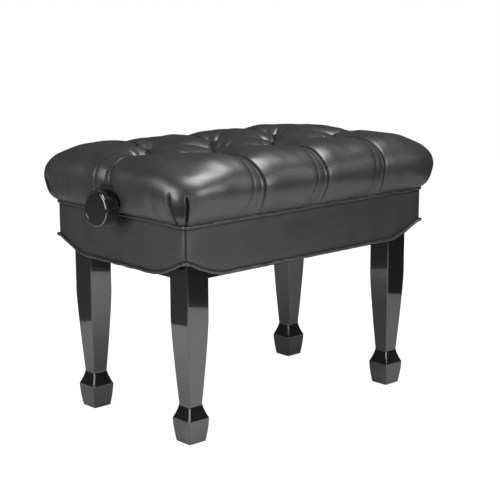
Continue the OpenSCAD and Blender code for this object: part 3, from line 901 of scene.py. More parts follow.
@dataclass
class SheetNet:
    """A flat sheet whose rim is drawn down in rings: the cut of leather before it is laid."""

    across: int
    deep: int
    rings: int
    step: float = 0.01

    def build(self, name: str) -> bpy.types.Object:
        """Makes the net, closed underneath.

        Args:
            name: the piece's name.

        Returns:
            The object; columns run from -1 to 1, and each ring is one step lower.
        """
        clear_selection()
        bpy.ops.mesh.primitive_grid_add(
            x_subdivisions=self.across, y_subdivisions=self.deep, size=2)
        piece = name_piece(name)
        edit(piece, "EDGE")
        bpy.ops.mesh.select_non_manifold(
            extend=False, use_wire=False, use_boundary=True,
            use_multi_face=False, use_non_contiguous=False, use_verts=False,
        )
        for _ in range(self.rings):
            bpy.ops.mesh.extrude_edges_move(TRANSFORM_OT_translate={"value": (0, 0, -self.step)})
        bpy.ops.mesh.edge_face_add()
        leave_edit()
        return piece

    def address(self, piece: bpy.types.Object) -> tuple[np.ndarray, np.ndarray, np.ndarray]:
        """Finds where each vertex stands in the net.

        Args:
            piece: the net, before it is laid.

        Returns:
            Column, row and ring of each vertex, as floats.
        """
        co = points_of(piece)
        column = np.rint((co[:, 0] + 1) / 2 * self.across)
        row = np.rint((co[:, 1] + 1) / 2 * self.deep)
        ring = np.rint(-co[:, 2] / self.step)
        return column, row, ring


@dataclass(frozen=True)
class ButtonFold:
    """A bowed trough with a crease in it, from one button to the next. Millimetres."""

    bow: float = 2.2
    waver: float = 0.9
    waver_pace: float = 9.0
    depth: float = 5.0
    end_depth: float = 11.0
    end_power: float = 2.4
    reach: float = 38.0
    slope: float = 2.1
    crease: float = 4.0
    steep: float = 1.8
    easy: float = 5.0
    clear: float = 0.02
    fade: float = 0.12
    crease_reach: float = 40.0
    shade_width: float = 2.6

    def press(self, x: np.ndarray, y: np.ndarray, ends: tuple[Spot, Spot], index: int) -> Dent:
        """Presses the fold into the cover.

        Args:
            x: place on the flat cut, along the seat.
            y: place on the flat cut, across it.
            ends: the two buttons that it joins.
            index: which fold it is, for its bends.

        Returns:
            Trough depth, crease depth and painted shade.
        """
        (px, py), (qx, qy) = ends
        length = math.hypot(qx - px, qy - py)
        dx, dy = (qx - px) / length, (qy - py) / length
        along = (x - px) * dx + (y - py) * dy
        off = -(x - px) * dy + (y - py) * dx
        s = np.clip(along / length, 0, 1)
        past = np.hypot(np.maximum(-along, 0) + np.maximum(along - length, 0), off)
        bow = self.bow * np.sin(s * math.pi) * (1 if index % 3 else -1)
        bow = bow + self.waver * np.sin(s * self.waver_pace + index)
        gap = np.where((along >= 0) & (along <= length), np.abs(off - bow), past)
        depth = self.depth + self.end_depth * np.abs(2 * s - 1) ** self.end_power
        trough = depth * np.clip(1 - gap / self.reach, 0, 1) ** self.slope
        mask = ramp(s, self.clear, self.fade) * ease((1 - self.clear - s) / self.fade)
        mask = mask * (gap < self.crease_reach)
        crease = self.crease * lap(off - bow, self.steep, self.easy) * mask
        # the third value is painted shade along the crease
        return trough, crease, bump(gap, self.shade_width) * mask


@dataclass(frozen=True)
class EdgePleat:
    """Two creases that fan apart from a button, over the edge and down to the seam. Millimetres.

    Curves run outward from the button. lean is 1 or -1, the way the fold laps, and
    spread is extra room between the creases.
    """

    at: float
    start: float
    seed: int
    spread: float = 0.0
    lean: float = 1.0
    before: float = 6.0
    reach: float = 60.0
    sway: float = 1.4
    sway_pace: float = 31.0
    waver: float = 0.7
    waver_pace: float = 13.0
    fan: Curve = ((0, 60, 110, 160, 220), (0, 3, 5, 9, 15))
    fan_spread: tuple[float, ...] = (0, 1, 1, 1, 0.6)
    parting: Curve = ((0, 60, 160), (3, 9, 10))
    second_sway: float = 0.6
    middle_sway: float = 0.5
    trough: Curve = ((0, 20, 50, 100, 150, 220), (16, 10.5, 5.2, 4.2, 3.2, 2.0))
    width: Curve = ((0, 60, 150), (40, 36, 32))
    slope: float = 1.7
    fade: Curve = ((-6, 4, 30, 120, 165, 205), (0, 1, 1, 1, 0.75, 0.25))
    crease: Curve = ((0, 50, 100, 160), (4.2, 4.4, 4.0, 2.6))
    crease_flanks: tuple[float, float] = (1.5, 3.2)
    ridge: Curve = ((0, 30, 60, 120, 170), (0, 1.2, 3.4, 2.4, 0.3))
    ridge_off: float = 6.5
    ridge_width: float = 3.6
    faint: Curve = ((0, 40, 90, 150, 200), (0.0, 0.2, 0.8, 1.7, 1.0))
    faint_flanks: tuple[float, float] = (1.6, 3.0)
    shade_width: float = 2.0
    faint_shade: float = 0.5

    def press(self, x: np.ndarray, out: np.ndarray) -> Dent:
        """Presses the pleat into the cover.

        Args:
            x: place along the edge.
            out: place outward from the middle of the seat.

        Returns:
            Trough depth, crease depth and painted shade.
        """
        s, off = out - self.start, x - self.at
        on = (s > -self.before) & (np.abs(off) < self.reach)
        sway = self.sway * np.sin(s / self.sway_pace + self.seed)
        sway = sway + self.waver * np.sin(s / self.waver_pace + 2 * self.seed)
        places, values = self.fan
        spread = tuple(v + k * self.spread for v, k in zip(values, self.fan_spread))
        fan = read((places, spread), s)
        first = off - sway - fan
        second = off - sway * self.second_sway + fan + read(self.parting, s)
        middle = np.abs(off - sway * self.middle_sway)
        trough = np.clip(1 - middle / read(self.width, s), 0, 1) ** self.slope
        trough = read(self.trough, s) * trough * on
        fade = read(self.fade, s)
        crease = read(self.crease, s) * lap(first * self.lean, *self.crease_flanks) * fade
        ridge = read(self.ridge, s) * bump(first + self.ridge_off, self.ridge_width)
        line = read(self.faint, s) * lap(-second, *self.faint_flanks) * fade
        # painted shade along both creases of the pleat
        shade_first = bump(first, self.shade_width)
        shade_second = self.faint_shade * bump(second, self.shade_width)
        tone = np.maximum(shade_first, shade_second) * fade
        return trough, (np.maximum(crease, line) - ridge) * on, tone * on


@dataclass(frozen=True)
class ButtonPit:
    """The leather drawn in to the buttons, with fine wrinkles fanning out. Millimetres."""

    depth: float = 30.0
    width: float = 20.0
    power: float = 1.25
    sink: float = 38.4
    floor: Ramp = (8.5, 3.5)
    wrinkle: float = 4.0
    wrinkle_power: float = 2.2
    counts: tuple[int, int] = (11, 15)
    phases: float = 6.28
    swing: float = 0.12
    strength: tuple[float, float] = (0.55, 0.45)
    near_end: Ramp = (9.0, 6.0)
    far_end: Ramp = (16.0, 18.0)
    shade: float = 0.9
    shade_ramp: Ramp = (9.0, 7.0)
    seed: int = 7

    def press(self, x: np.ndarray, y: np.ndarray, places: Sequence[Spot]) -> Dent:
        """Finds the wrinkles round the buttons.

        Args:
            x: place on the flat cut, along the seat.
            y: place on the flat cut, across it.
            places: middles of the buttons.

        Returns:
            Distance to the nearest button, wrinkle depth and painted shade.
        """
        near = np.full_like(x, np.inf)
        wrinkles, tone = np.zeros_like(x), np.zeros_like(x)
        rng = np.random.default_rng(self.seed)
        for bx, by in places:
            r = np.hypot(x - bx, y - by)
            near = np.minimum(near, r)
            angle = np.arctan2(y - by, x - bx)
            count = int(rng.integers(*self.counts))
            phase, slow = rng.uniform(0, self.phases), rng.uniform(0, self.phases)
            swing = angle + self.swing * np.sin(3 * angle + slow)
            wave = (0.5 + 0.5 * np.cos(count * swing + phase)) ** self.wrinkle_power
            strength = self.strength[0] + self.strength[1] * np.sin(2 * angle + slow)
            start, run = self.far_end
            reach = ramp(r, *self.near_end) * (1 - ramp(r, start, run + run * strength))
            wrinkles = np.maximum(wrinkles, self.wrinkle * wave * strength * reach)
            # painted shade round each button
            tone = np.maximum(tone, self.shade * (1 - ramp(r, *self.shade_ramp)))
        return near, wrinkles, tone

    def draw_in(self, depth: np.ndarray, near: np.ndarray) -> np.ndarray:
        """Flattens the cover under each button to one depth."""
        floor = 1 - ramp(near, *self.floor)
        return depth * (1 - floor) + self.sink * floor


@dataclass(frozen=True)
class BoxPleat:
    """The folded panel at a corner, between creases that close at the seam. Millimetres.

    Curves run by height.
    """

    lean: Curve = ((372, 400, 430), (48.0, 46.5, 45.5))
    shift: float = 5.5
    top: float = 462.0
    half: Curve = ((370, 384, 398, 410, 424, 436), (6.0, 10.0, 13.6, 15.0, 14.4, 12.0))
    low_fade: Ramp = (362.0, 10.0)
    high_fade: Ramp = (416.0, 13.0)
    crease: float = 6.5
    outer_width: float = 1.7
    inner_width: float = 2.4
    puff: float = 1.8
    shoulder: float = 1.1
    shoulder_off: float = 5.0
    shoulder_width: float = 3.5
    shade: float = 0.8
    shade_edge: float = 6.0
    shade_low: Ramp = (384.0, 10.0)
    shade_high: Ramp = (404.0, 16.0)
    shade_width: float = 2.2

    def press(self, u: np.ndarray, v: np.ndarray, z: np.ndarray) -> tuple[np.ndarray, np.ndarray]:
        """Presses the panel into the corners.

        Args:
            u: distance past the end's straight part.
            v: distance past the side's straight part.
            z: height.

        Returns:
            Depth and painted shade.
        """
        lean = np.radians(read(self.lean, z))
        off = u * np.sin(lean) - v * np.cos(lean) - self.shift
        here = (u > 0) & (v > 0) & (z < self.top)
        half = read(self.half, z)
        gap = np.abs(off) - half
        fade = ramp(z, *self.low_fade) * (1 - ramp(z, *self.high_fade))
        crease = np.where(gap > 0, bump(gap, self.outer_width), bump(gap, self.inner_width))
        panel = -self.puff * np.clip(1 - (off / np.maximum(half, 1)) ** 2, 0, 1)
        shoulder = -self.shoulder * bump(gap - self.shoulder_off, self.shoulder_width)
        depth = (self.crease * crease + panel + shoulder) * fade * here
        # painted shade: the middle of the corner panel drawn darker between two heights
        painted_panel_shade = self.shade * ease(-gap / self.shade_edge)
        painted_panel_shade = painted_panel_shade * ramp(z, *self.shade_low) * (1 - ramp(z, *self.shade_high))
        tone = np.maximum(bump(gap, self.shade_width) * fade, painted_panel_shade) * here
        return depth, tone


@dataclass
class TuftedCushion:
    """The leather seat: deep buttoned, rolled over the edge down to the seam. Millimetres."""

    flat_x: float = 262.0
    flat_y: float = 146.0
    corner: float = 52.0
    across: int = 284
    deep: int = 180
    arc: int = 42
    arc_ease: float = 0.42
    arc_power: float = 2.2
    skin_rings: int = 64
    crown: float = 471.5
    edge_drop: float = 1.9
    edge_width: float = 42.0
    front_lift: float = 4.0
    front_ramp: Ramp = (60.0, 70.0)
    front_ends: Ramp = (190.0, 70.0)
    back_drop: float = 2.6
    back_ramp: Ramp = (70.0, 70.0)
    back_ends: Ramp = (-230.0, 200.0)
    end_drop: float = 3.0
    end_ramp: Ramp = (195.0, 65.0)
    lift_ramp: Ramp = (425.0, 40.0)
    seam: float = 370.2
    seam_hold: float = 16.0
    upright: Ramp = (462.0, 6.0)
    pitch_x: float = 145.0
    pitch_y: float = 80.0
    board_top: float = 411.3
    box_x: float = 276.9
    box_y: float = 168.4
    meet: float = 3.0
    pleat_room: float = 2.0
    pleat_width: float = 15.0
    pleat_samples: int = 2001
    end_spread: float = 8.0
    neighbour: float = 0.6
    side_seed: int = 5
    end_seed: int = 11
    inside_square: float = 0.012
    clear_of_buttons: Ramp = (25.0, 40.0)
    knob_z: float = 384.0
    knob_wall: Curve = ((0, 14, 26, 33), (286, 290, 295, 298))
    knob_rim: Ramp = (31.0, 9.0)
    knob_reach: float = 46.0
    below_knob: tuple[float, float] = (382.0, 8.0)
    # height and wave of each swell, and its seed
    swells: tuple[tuple[float, float, int], ...] = ((0.9, 85, 3), (0.35, 34, 4))
    # how square the corners are, by height
    square: Curve = ((371, 380, 400, 430, 452, 466), (0.045, 0.08, 0.16, 0.25, 0.33, 0.5))
    # offset of the end, offset of the side, height
    section: tuple[Point, ...] = (
        (0.0, 0.0, 469.6),
        (9.0, 10.0, 468.7),
        (19.0, 21.0, 465.8),
        (27.5, 31.0, 461.0),
        (39.5, 41.5, 454.0),
        (46.0, 51.0, 444.5),
        (49.0, 57.5, 432.0),
        (46.5, 58.0, 419.0),
        (41.5, 53.5, 404.0),
        (35.0, 45.5, 389.5),
        (28.0, 36.5, 378.0),
        (21.0, 29.0, 372.5),
        (17.0, 25.0, 370.2),
    )
    fold: ButtonFold = ButtonFold()
    pit: ButtonPit = ButtonPit()
    box_pleat: BoxPleat = BoxPleat()

    @property
    def straight(self) -> Spot:
        """Half of the straight part of a side and of an end."""
        return self.flat_x - self.corner, self.flat_y - self.corner

    def tufts(self) -> list[Spot]:
        """Places of the buttons, seen from above."""
        rows = [(c * self.pitch_x / 2, 0.0) for c in (-3, -1, 1, 3)]
        return rows + [(c * self.pitch_x, s * self.pitch_y) for c in (-1, 0, 1) for s in (-1, 1)]

    def folds(self) -> list[tuple[Spot, Spot]]:
        """Pairs of neighbouring buttons that a fold joins."""
        places = self.tufts()
        inner = [p for p in places if p[1] == 0]
        outer = [p for p in places if p[1] != 0]
        limit = self.pitch_x * self.neighbour
        return [(p, q) for p in inner for q in outer if abs(p[0] - q[0]) < limit]

    def build(self, leather: bpy.types.Material) -> bpy.types.Object:
        """Cuts, lays and tufts the cover.

        Args:
            leather: the finish.

        Returns:
            The finished piece.
        """
        net = SheetNet(self.across, self.deep, self.skin_rings + 2)
        piece = net.build("tufted_cushion")
        column, row, ring = net.address(piece)
        base, flat = self._lay(column, row, ring)
        lay_points(piece, base * MM)
        face_outward(piece)
        skin = ring <= self.skin_rings
        dent, fold = self._dents(flat[:, 0], flat[:, 1])
        normal = normals_of(piece)
        top = ramp(base[:, 2], *self.upright)[:, None]
        normal = normal * (1 - top) + np.array([0, 0, 1.0]) * top
        normal /= np.linalg.norm(normal, axis=1)[:, None]
        # the sewn edge stays where it is sewn
        held = ramp(base[:, 2], self.seam, self.seam_hold)
        hx, hy = self.straight
        corner_dent, corner_painted_shade = self.box_pleat.press(
            np.abs(base[:, 0]) - hx, np.abs(base[:, 1]) - hy, base[:, 2])
        moved = base - normal * ((dent + corner_dent) * held * skin)[:, None]
        moved = self._knob_hollows(moved, base, skin)
        lay_points(piece, moved * MM)
        # fold holds painted shade: creases, button pits and the corner panels are drawn darker and
        # less shiny
        store(piece, "fold", np.clip(np.maximum(fold, corner_painted_shade), 0, 1) * skin)
        shade(piece)
        dress(piece, leather, Body.SEAT)
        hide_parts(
            "cushion_pad",
            "side_roll_front", "side_roll_back", "side_roll_left", "side_roll_right",
        )
        return piece

    def _gather(self, share: np.ndarray, half: float, pleats: Sequence[float]) -> np.ndarray:
        """Spaces columns along a side, closer together at its pleats.

        Args:
            share: place of each column, 0 to 1.
            half: half of the side's straight part.
            pleats: where the side is pleated.

        Returns:
            Distance of each column from the middle.
        """
        x = np.linspace(-half, half, self.pleat_samples)
        room = 1 + sum(self.pleat_room * bump(x - c, self.pleat_width) for c in pleats)
        run = np.concatenate([[0], np.cumsum(room[1:])])
        return np.interp(np.clip(share, 0, 1) * run[-1], run, x)

    def _rim(self, k: np.ndarray, count: int, half: float, pleats: Sequence[float]
             ) -> tuple[np.ndarray, np.ndarray, np.ndarray]:
        """One side of the top's outline.

        Args:
            k: column along the side.
            count: columns on the side.
            half: half of its straight part.
            pleats: where the side is pleated.

        Returns:
            Centre along the side, and the two parts of the outward direction: along and out.
        """
        n = self.arc
        left, right = k < n, k > count - n
        part = np.where(left, k / n, np.where(right, (count - k) / n, 1.0))
        eased = self.arc_ease * part + (1 - self.arc_ease) * part**self.arc_power
        turn = np.radians(45 + 45 * eased)
        between = self._gather((k - n) / (count - 2 * n), half, pleats)
        along = np.where(left, -half, np.where(right, half, between))
        round_ = left | right
        sideways = np.cos(turn) * np.where(left, -1.0, 1.0) * round_
        return along, sideways, np.where(round_, np.sin(turn), 1.0)

    def _outline(self, column: np.ndarray, row: np.ndarray, side: str
                 ) -> tuple[np.ndarray, np.ndarray]:
        """Arc centres and outward directions on one side.

        Args:
            column: column of each vertex.
            row: row of each vertex.
            side: front, back, left or right.

        Returns:
            Centres, and directions of length one.
        """
        hx, hy = self.straight
        if side in ("front", "back"):
            pleats = (-self.pitch_x, 0.0, self.pitch_x)
            along, a, o = self._rim(column, self.across, hx, pleats)
            s = -1.0 if side == "front" else 1.0
            return np.stack([along, np.full_like(along, s * hy)], 1), np.stack([a, s * o], 1)
        along, a, o = self._rim(row, self.deep, hy, (0.0,))
        s = -1.0 if side == "left" else 1.0
        return np.stack([np.full_like(along, s * hx), along], 1), np.stack([s * o, a], 1)

    def _lay(self, column: np.ndarray, row: np.ndarray, ring: np.ndarray
             ) -> tuple[np.ndarray, np.ndarray]:
        """Lays the net on the seat.

        Args:
            column: column of each vertex.
            row: row of each vertex.
            ring: ring of each vertex, 0 on top.

        Returns:
            Places, and places on the flat cut.
        """
        place, flat = np.zeros((len(column), 3)), np.zeros((len(column), 2))
        line = spaced(rounded(self.section), self.skin_rings + 1)
        square = np.concatenate([read(self.square, line[:, 2]), [self.inside_square] * 2])
        steps = np.linalg.norm(np.diff(line[:, 1:], axis=0), axis=1)
        run = np.concatenate([[0], np.cumsum(steps)])
        # two more rows for the inside of the cover: on the box, and up to the board
        inset = (self.box_x - self.flat_x, self.box_y - self.flat_y)
        line = np.vstack([line, [(*inset, self.seam), (*inset, self.board_top)]])
        run = np.concatenate([run, [run[-1]] * 2])
        sides = {
            "front": row == 0,
            "back": row == self.deep,
            "left": column == 0,
            "right": column == self.across,
        }
        for side, here in sides.items():
            centre, out = self._outline(column[here], row[here], side)
            k = ring[here].astype(int)
            ex, ey, p = self.corner + line[k, 0], self.corner + line[k, 1], 1 / square[k]
            reach = (np.abs(out[:, 0]) / ex) ** p + (np.abs(out[:, 1]) / ey) ** p
            place[here, :2] = centre + out * (reach ** (-1 / p))[:, None]
            place[here, 2] = line[k, 2]
            flat[here] = centre + out * (self.corner + run[k])[:, None]
        top = ring == 0
        sheet = self._top_sheet(column[top], row[top])
        place[top, :2], flat[top] = sheet, sheet
        inside = np.minimum(self.flat_x - np.abs(sheet[:, 0]), self.flat_y - np.abs(sheet[:, 1]))
        fall = np.clip(1 - inside / self.edge_width, 0, 1) ** 2
        place[top, 2] = self.crown - self.edge_drop * fall
        place[:, 2] += self._lean(*place.T)
        return place, flat

    def _top_sheet(self, column: np.ndarray, row: np.ndarray) -> np.ndarray:
        """Spreads the top evenly between its four outlines.

        Args:
            column: column of each vertex.
            row: row of each vertex.

        Returns:
            Places on the flat cut.
        """
        hx, hy = self.straight

        def edge(side: str) -> np.ndarray:
            """Points of the outline level with each vertex."""
            centre, out = self._outline(column, row, side)
            return centre + out * self.corner

        a, b = (column / self.across)[:, None], (row / self.deep)[:, None]
        d = self.corner * math.sqrt(0.5)
        cx, cy = hx + d, hy + d
        corners = ((-cx, -cy), (cx, -cy), (-cx, cy), (cx, cy))
        shares = ((1 - a) * (1 - b), a * (1 - b), (1 - a) * b, a * b)
        sheet = (1 - b) * edge("front") + b * edge("back")
        sheet = sheet + (1 - a) * edge("left") + a * edge("right")
        for corner, share in zip(corners, shares):
            sheet = sheet - share * np.array(corner)
        return sheet

    def _lean(self, x: np.ndarray, y: np.ndarray, z: np.ndarray) -> np.ndarray:
        """How far the stuffing stands up at the front, and down at the back and ends.

        Args:
            x: place along the seat.
            y: place across it.
            z: height.

        Returns:
            The rise of each vertex.
        """
        lift = self.front_lift * ramp(-y, *self.front_ramp)
        lift = lift * (1 - ramp(np.abs(x), *self.front_ends))
        drop = self.back_drop * ramp(y, *self.back_ramp) * ramp(x, *self.back_ends)
        return (lift - (drop + self.end_drop * ramp(x, *self.end_ramp))) * ramp(z, *self.lift_ramp)

    def _creases(self, x: np.ndarray, y: np.ndarray) -> Iterator[Dent]:
        """Presses each fold between buttons, then each pleat over the edge.

        Args:
            x: place on the flat cut, along the seat.
            y: place on the flat cut, across it.

        Yields:
            Trough depth, crease depth and shade of one fold or pleat.
        """
        for index, ends in enumerate(self.folds()):
            yield self.fold.press(x, y, ends, index)
        for x0 in (-self.pitch_x, 0.0, self.pitch_x):
            for side in Side:
                seed = self.side_seed + int(x0 / 50) + side
                yield EdgePleat(x0, self.pitch_y, seed).press(x, side * y)
        for side in Side:
            seed, start = self.end_seed + side, self.pitch_x * 1.5
            pleat = EdgePleat(0.0, start, seed, self.end_spread, lean=-1.0)
            yield pleat.press(side * y, side * x)

    def _dents(self, x: np.ndarray, y: np.ndarray) -> tuple[np.ndarray, np.ndarray]:
        """How deep the cover is drawn in, and how much painted shade a place gets.

        Args:
            x: place on the flat cut, along the seat.
            y: place on the flat cut, across it.

        Returns:
            Depth in millimetres and painted shade from 0 to 1.
        """
        troughs, sharp, crease_painted_shade = (np.zeros_like(x) for _ in range(3))
        for trough, crease, tone in self._creases(x, y):
            troughs += trough**self.meet
            sharp = np.maximum(sharp, crease)
            crease_painted_shade = np.maximum(crease_painted_shade, tone)
        near, wrinkles, pit_painted_shade = self.pit.press(x, y, self.tufts())
        hollow = self.pit.depth * np.exp(-((near / self.pit.width) ** self.pit.power))
        depth = troughs ** (1 / self.meet) + sharp + hollow + wrinkles
        depth = self.pit.draw_in(depth, near)
        swell = sum(height * ripple(x, y, wave, seed) for height, wave, seed in self.swells)
        # the second value is painted shade in creases and round the buttons
        return depth + ramp(near, *self.clear_of_buttons) * swell, np.maximum(crease_painted_shade, pit_painted_shade)

    def _knob_hollows(self, moved: np.ndarray, base: np.ndarray, skin: np.ndarray) -> np.ndarray:
        """Presses the ends in round the knobs.

        Args:
            moved: places of the vertices after tufting.
            base: places before tufting.
            skin: which vertices are on the outside.

        Returns:
            The places, clear of the knobs.
        """
        out = moved.copy()
        r = np.hypot(moved[:, 1], moved[:, 2] - self.knob_z)
        wall = read(self.knob_wall, r)
        level, fade = self.below_knob
        give = np.maximum(ramp(r, *self.knob_rim), ease((level - base[:, 2]) / fade))
        over = np.abs(moved[:, 0]) - wall
        keep = wall + np.maximum(over, 0) * give
        hit = skin & (over > 0) & (r < self.knob_reach)
        out[hit, 0] = np.sign(moved[hit, 0]) * keep[hit]
        return out


RISE_POWER = 1.6
RISE_CROWN = 0.09


def rise_to_corner(t: np.ndarray) -> np.ndarray:
    """Share of the skirt's rise at a share of its run: hollow, then crowned at the corner."""
    t = np.clip(t, 0, 1)
    return (1 - t) ** RISE_POWER - RISE_CROWN * bump(t, RISE_CROWN)


@dataclass
class PaddedSkirt:
    """Four padded leather panels round the seat box, sewn together at the corners. Millimetres."""

    half_x: float = 280.0
    half_y: float = 171.5
    top: float = 368.6
    bottom: float = 286.0
    rise: float = 30.0
    run: float = 85.0
    thick: float = 3.2
    fine: float = 3.0
    rows: int = 34
    crowding: float = 0.45
    turn: float = 1.5
    tucked: float = 0.55
    pad: float = 1.5
    pad_power: float = 2.6
    pad_from: float = 22.0
    seam_depth: float = 2.4
    seam_width: float = 1.5
    seam_puff: float = 0.4
    puff_off: float = 8.5
    puff_width: float = 6.0
    seam_share: float = 0.8
    gather: float = 0.16
    gather_stretch: Spot = (4.2, 0.4)
    gather_wave: float = 40.0
    gather_reach: float = 7.0
    swell: float = 0.1
    swell_wave: float = 95.0
    swell_from: float = 30.0
    drag: float = 0.2
    drag_reach: float = 26.0
    drag_pace: Spot = (6.0, 19.0)
    shade_width: float = 2.3
    edge_shade: float = 0.85
    edge_off: float = 3.2
    edge_width: float = 1.5

    def lift(self, d: np.ndarray) -> np.ndarray:
        """How far the bottom edge has risen at a distance from the corner."""
        return self.rise * rise_to_corner(d / self.run)

    def build(self, leather: bpy.types.Material) -> bpy.types.Object:
        """Cuts the four panels and sews them into one loop.

        Args:
            leather: the finish.

        Returns:
            The finished piece.
        """
        long, short = (self.half_x, self.half_y), (self.half_y, self.half_x)
        cuts = (("front", long), ("right", short), ("back", long), ("left", short))
        panels = [
            self._panel(f"skirt_{side}", *halves, 90.0 * index, 21 + index)
            for index, (side, halves) in enumerate(cuts)
        ]
        clear_selection()
        for panel in panels:
            panel.select_set(True)
        bpy.context.view_layer.objects.active = panels[0]
        bpy.ops.object.join()
        piece = name_piece("padded_skirt")
        shade(piece, 50)
        dress(piece, leather, Body.SEAT)
        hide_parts("skirt_cover")
        return piece

    def _panel(self, name: str, half: float, out: float, turn: float, seed: int
               ) -> bpy.types.Object:
        """One panel, padded a little and drawn in at its seams.

        Args:
            name: the panel's name.
            half: half of its length.
            out: its distance from the middle of the seat.
            turn: the side of the bench that it is turned to, in degrees.
            seed: which small swells it has.

        Returns:
            The panel, with the thickness of its wadding.
        """
        count = int(2 * half / self.fine)
        clear_selection()
        bpy.ops.mesh.primitive_grid_add(x_subdivisions=count, y_subdivisions=self.rows, size=2)
        piece = name_piece(name)
        co = points_of(piece)
        # columns stand closer together near the corners
        u = np.sin(co[:, 0] * math.pi / 2) * self.crowding + co[:, 0] * (1 - self.crowding)
        v = (1 - co[:, 1]) / 2
        d = half * (1 - np.abs(u))
        low = self.bottom + self.lift(d)
        z = self.top + (low - self.top) * v
        along = half * u
        pad = self.pad * (1 - np.abs(2 * v - 1) ** self.pad_power) * ease(d / self.pad_from)
        seam = self.seam_puff * bump(d - self.puff_off, self.puff_width)
        seam = seam - self.seam_depth * bump(d, self.seam_width)
        within = np.clip(self.turn - d, 0, self.turn)
        curl = self.turn - np.sqrt(np.maximum(self.turn**2 - within**2, 0))
        edge = np.minimum(z - low, self.top - z)
        sx, sz = self.gather_stretch
        gathers = self.gather * ripple(along * sx, z * sz, self.gather_wave, seed)
        gathers = gathers * flank(edge, self.gather_reach)
        swell = self.swell * ripple(along, z, self.swell_wave, seed + 10)
        swell = swell * ease(d / self.swell_from)
        up, across = self.drag_pace
        drag = self.drag * flank(d, self.drag_reach) * np.sin((z - low) / up + along / across)
        offset = out + pad + seam * self.seam_share - curl * self.tucked
        offset = offset + gathers + swell + drag * ease(d / self.puff_width)
        a = math.radians(turn)
        cos, sin = math.cos(a), math.sin(a)
        x, y = along, -offset
        place = np.stack([x * cos - y * sin, x * sin + y * cos, z], 1)
        lay_points(piece, place * MM)
        # painted shade at the corner seams and beside the welts, kept in the fold attribute
        painted_welt_shade = self.edge_shade * bump(edge - self.edge_off, self.edge_width)
        store(piece, "fold", np.maximum(bump(d, self.shade_width), painted_welt_shade))
        modifier = piece.modifiers.new("wadding", "SOLIDIFY")
        modifier.thickness = self.thick * MM
        modifier.offset = -1 if self._faces_out(piece, a) else 1
        apply_all(piece)
        face_outward(piece)
        return piece

    @staticmethod
    def _faces_out(piece: bpy.types.Object, turn: float) -> bool:
        """Whether the panel's normals point away from the bench."""
        middle = piece.data.polygons[len(piece.data.polygons) // 2].normal
        return middle.dot(Vector((math.sin(turn), -math.cos(turn), 0))) > 0


@dataclass
class Welt:
    """A round leather welt sewn along an edge. Millimetres."""

    name: str
    node: str
    level: float
    radius: float = 2.75
    out: float = 1.2
    half_x: float = 280.0
    half_y: float = 171.5
    turn: float = 5.0
    rise: float = 0.0
    run: float = 85.0
    tip: float = 0.0
    tip_reach: float = 6.5
    seed: int = 31
    pitch: float = 2.2
    arc_steps: int = 8
    # height and wave of each swell
    waves: tuple[Spot, ...] = ((0.55, 46.0), (0.3, 17.0))
    push: Spot = (0.3, 30.0)
    level_at_corner: float = 12.0

    def build(self, leather: bpy.types.Material) -> bpy.types.Object:
        """Bends a cord round the seat and covers it.

        Args:
            leather: the finish.

        Returns:
            The finished piece.
        """
        path = self._path()
        clear_selection()
        bpy.ops.curve.primitive_bezier_circle_add(radius=0.3)
        cord = bpy.context.object
        data = cord.data
        data.splines.clear()
        spline = data.splines.new("POLY")
        spline.points.add(len(path) - 1)
        spline.points.foreach_set("co", np.hstack([path * MM, np.ones((len(path), 1))]).ravel())
        spline.use_cyclic_u = True
        data.dimensions = "3D"
        data.bevel_depth = self.radius * MM
        data.bevel_resolution = 3
        data.twist_mode = "Z_UP"
        make_active(cord)
        bpy.ops.object.convert(target="MESH")
        piece = name_piece(self.name)
        face_outward(piece)
        shade(piece)
        dress(piece, leather, Body.SEAT)
        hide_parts(self.node)
        return piece

    def _path(self) -> np.ndarray:
        """Centre line of the welt, once round."""
        hx, hy, r = self.half_x + self.out, self.half_y + self.out, self.turn
        corners, line = ((1, -1), (1, 1), (-1, 1), (-1, -1)), []
        for index, (sx, sy) in enumerate(corners):
            start = math.radians(-90 + 90 * index)
            for k in range(self.arc_steps + 1):
                a = start + math.radians(90 * k / self.arc_steps)
                line.append((sx * (hx - r) + r * math.cos(a), sy * (hy - r) + r * math.sin(a)))
        line = np.array(line + line[:1])
        path = spaced(line, int(2 * (hx + hy) * 2 / self.pitch))[:-1]
        halves = np.array([hx, hy])
        d = np.hypot(*np.maximum(halves - np.abs(path), 0).T)
        way = np.cumsum(np.concatenate([[0], np.linalg.norm(np.diff(path, axis=0), axis=1)]))
        lift = self.rise * rise_to_corner(d / self.run)
        *waves, push = (
            height * ripple(way, way * 0, wave, self.seed + k)
            for k, (height, wave) in enumerate((*self.waves, self.push))
        )
        push = push + self.tip * bump(d, self.tip_reach)
        away = np.sign(path) * (np.abs(path) > halves - r - 0.1)
        path = path + away * push[:, None]
        height = self.level + lift + sum(waves) * ease(d / self.level_at_corner)
        return np.column_stack([path, height])


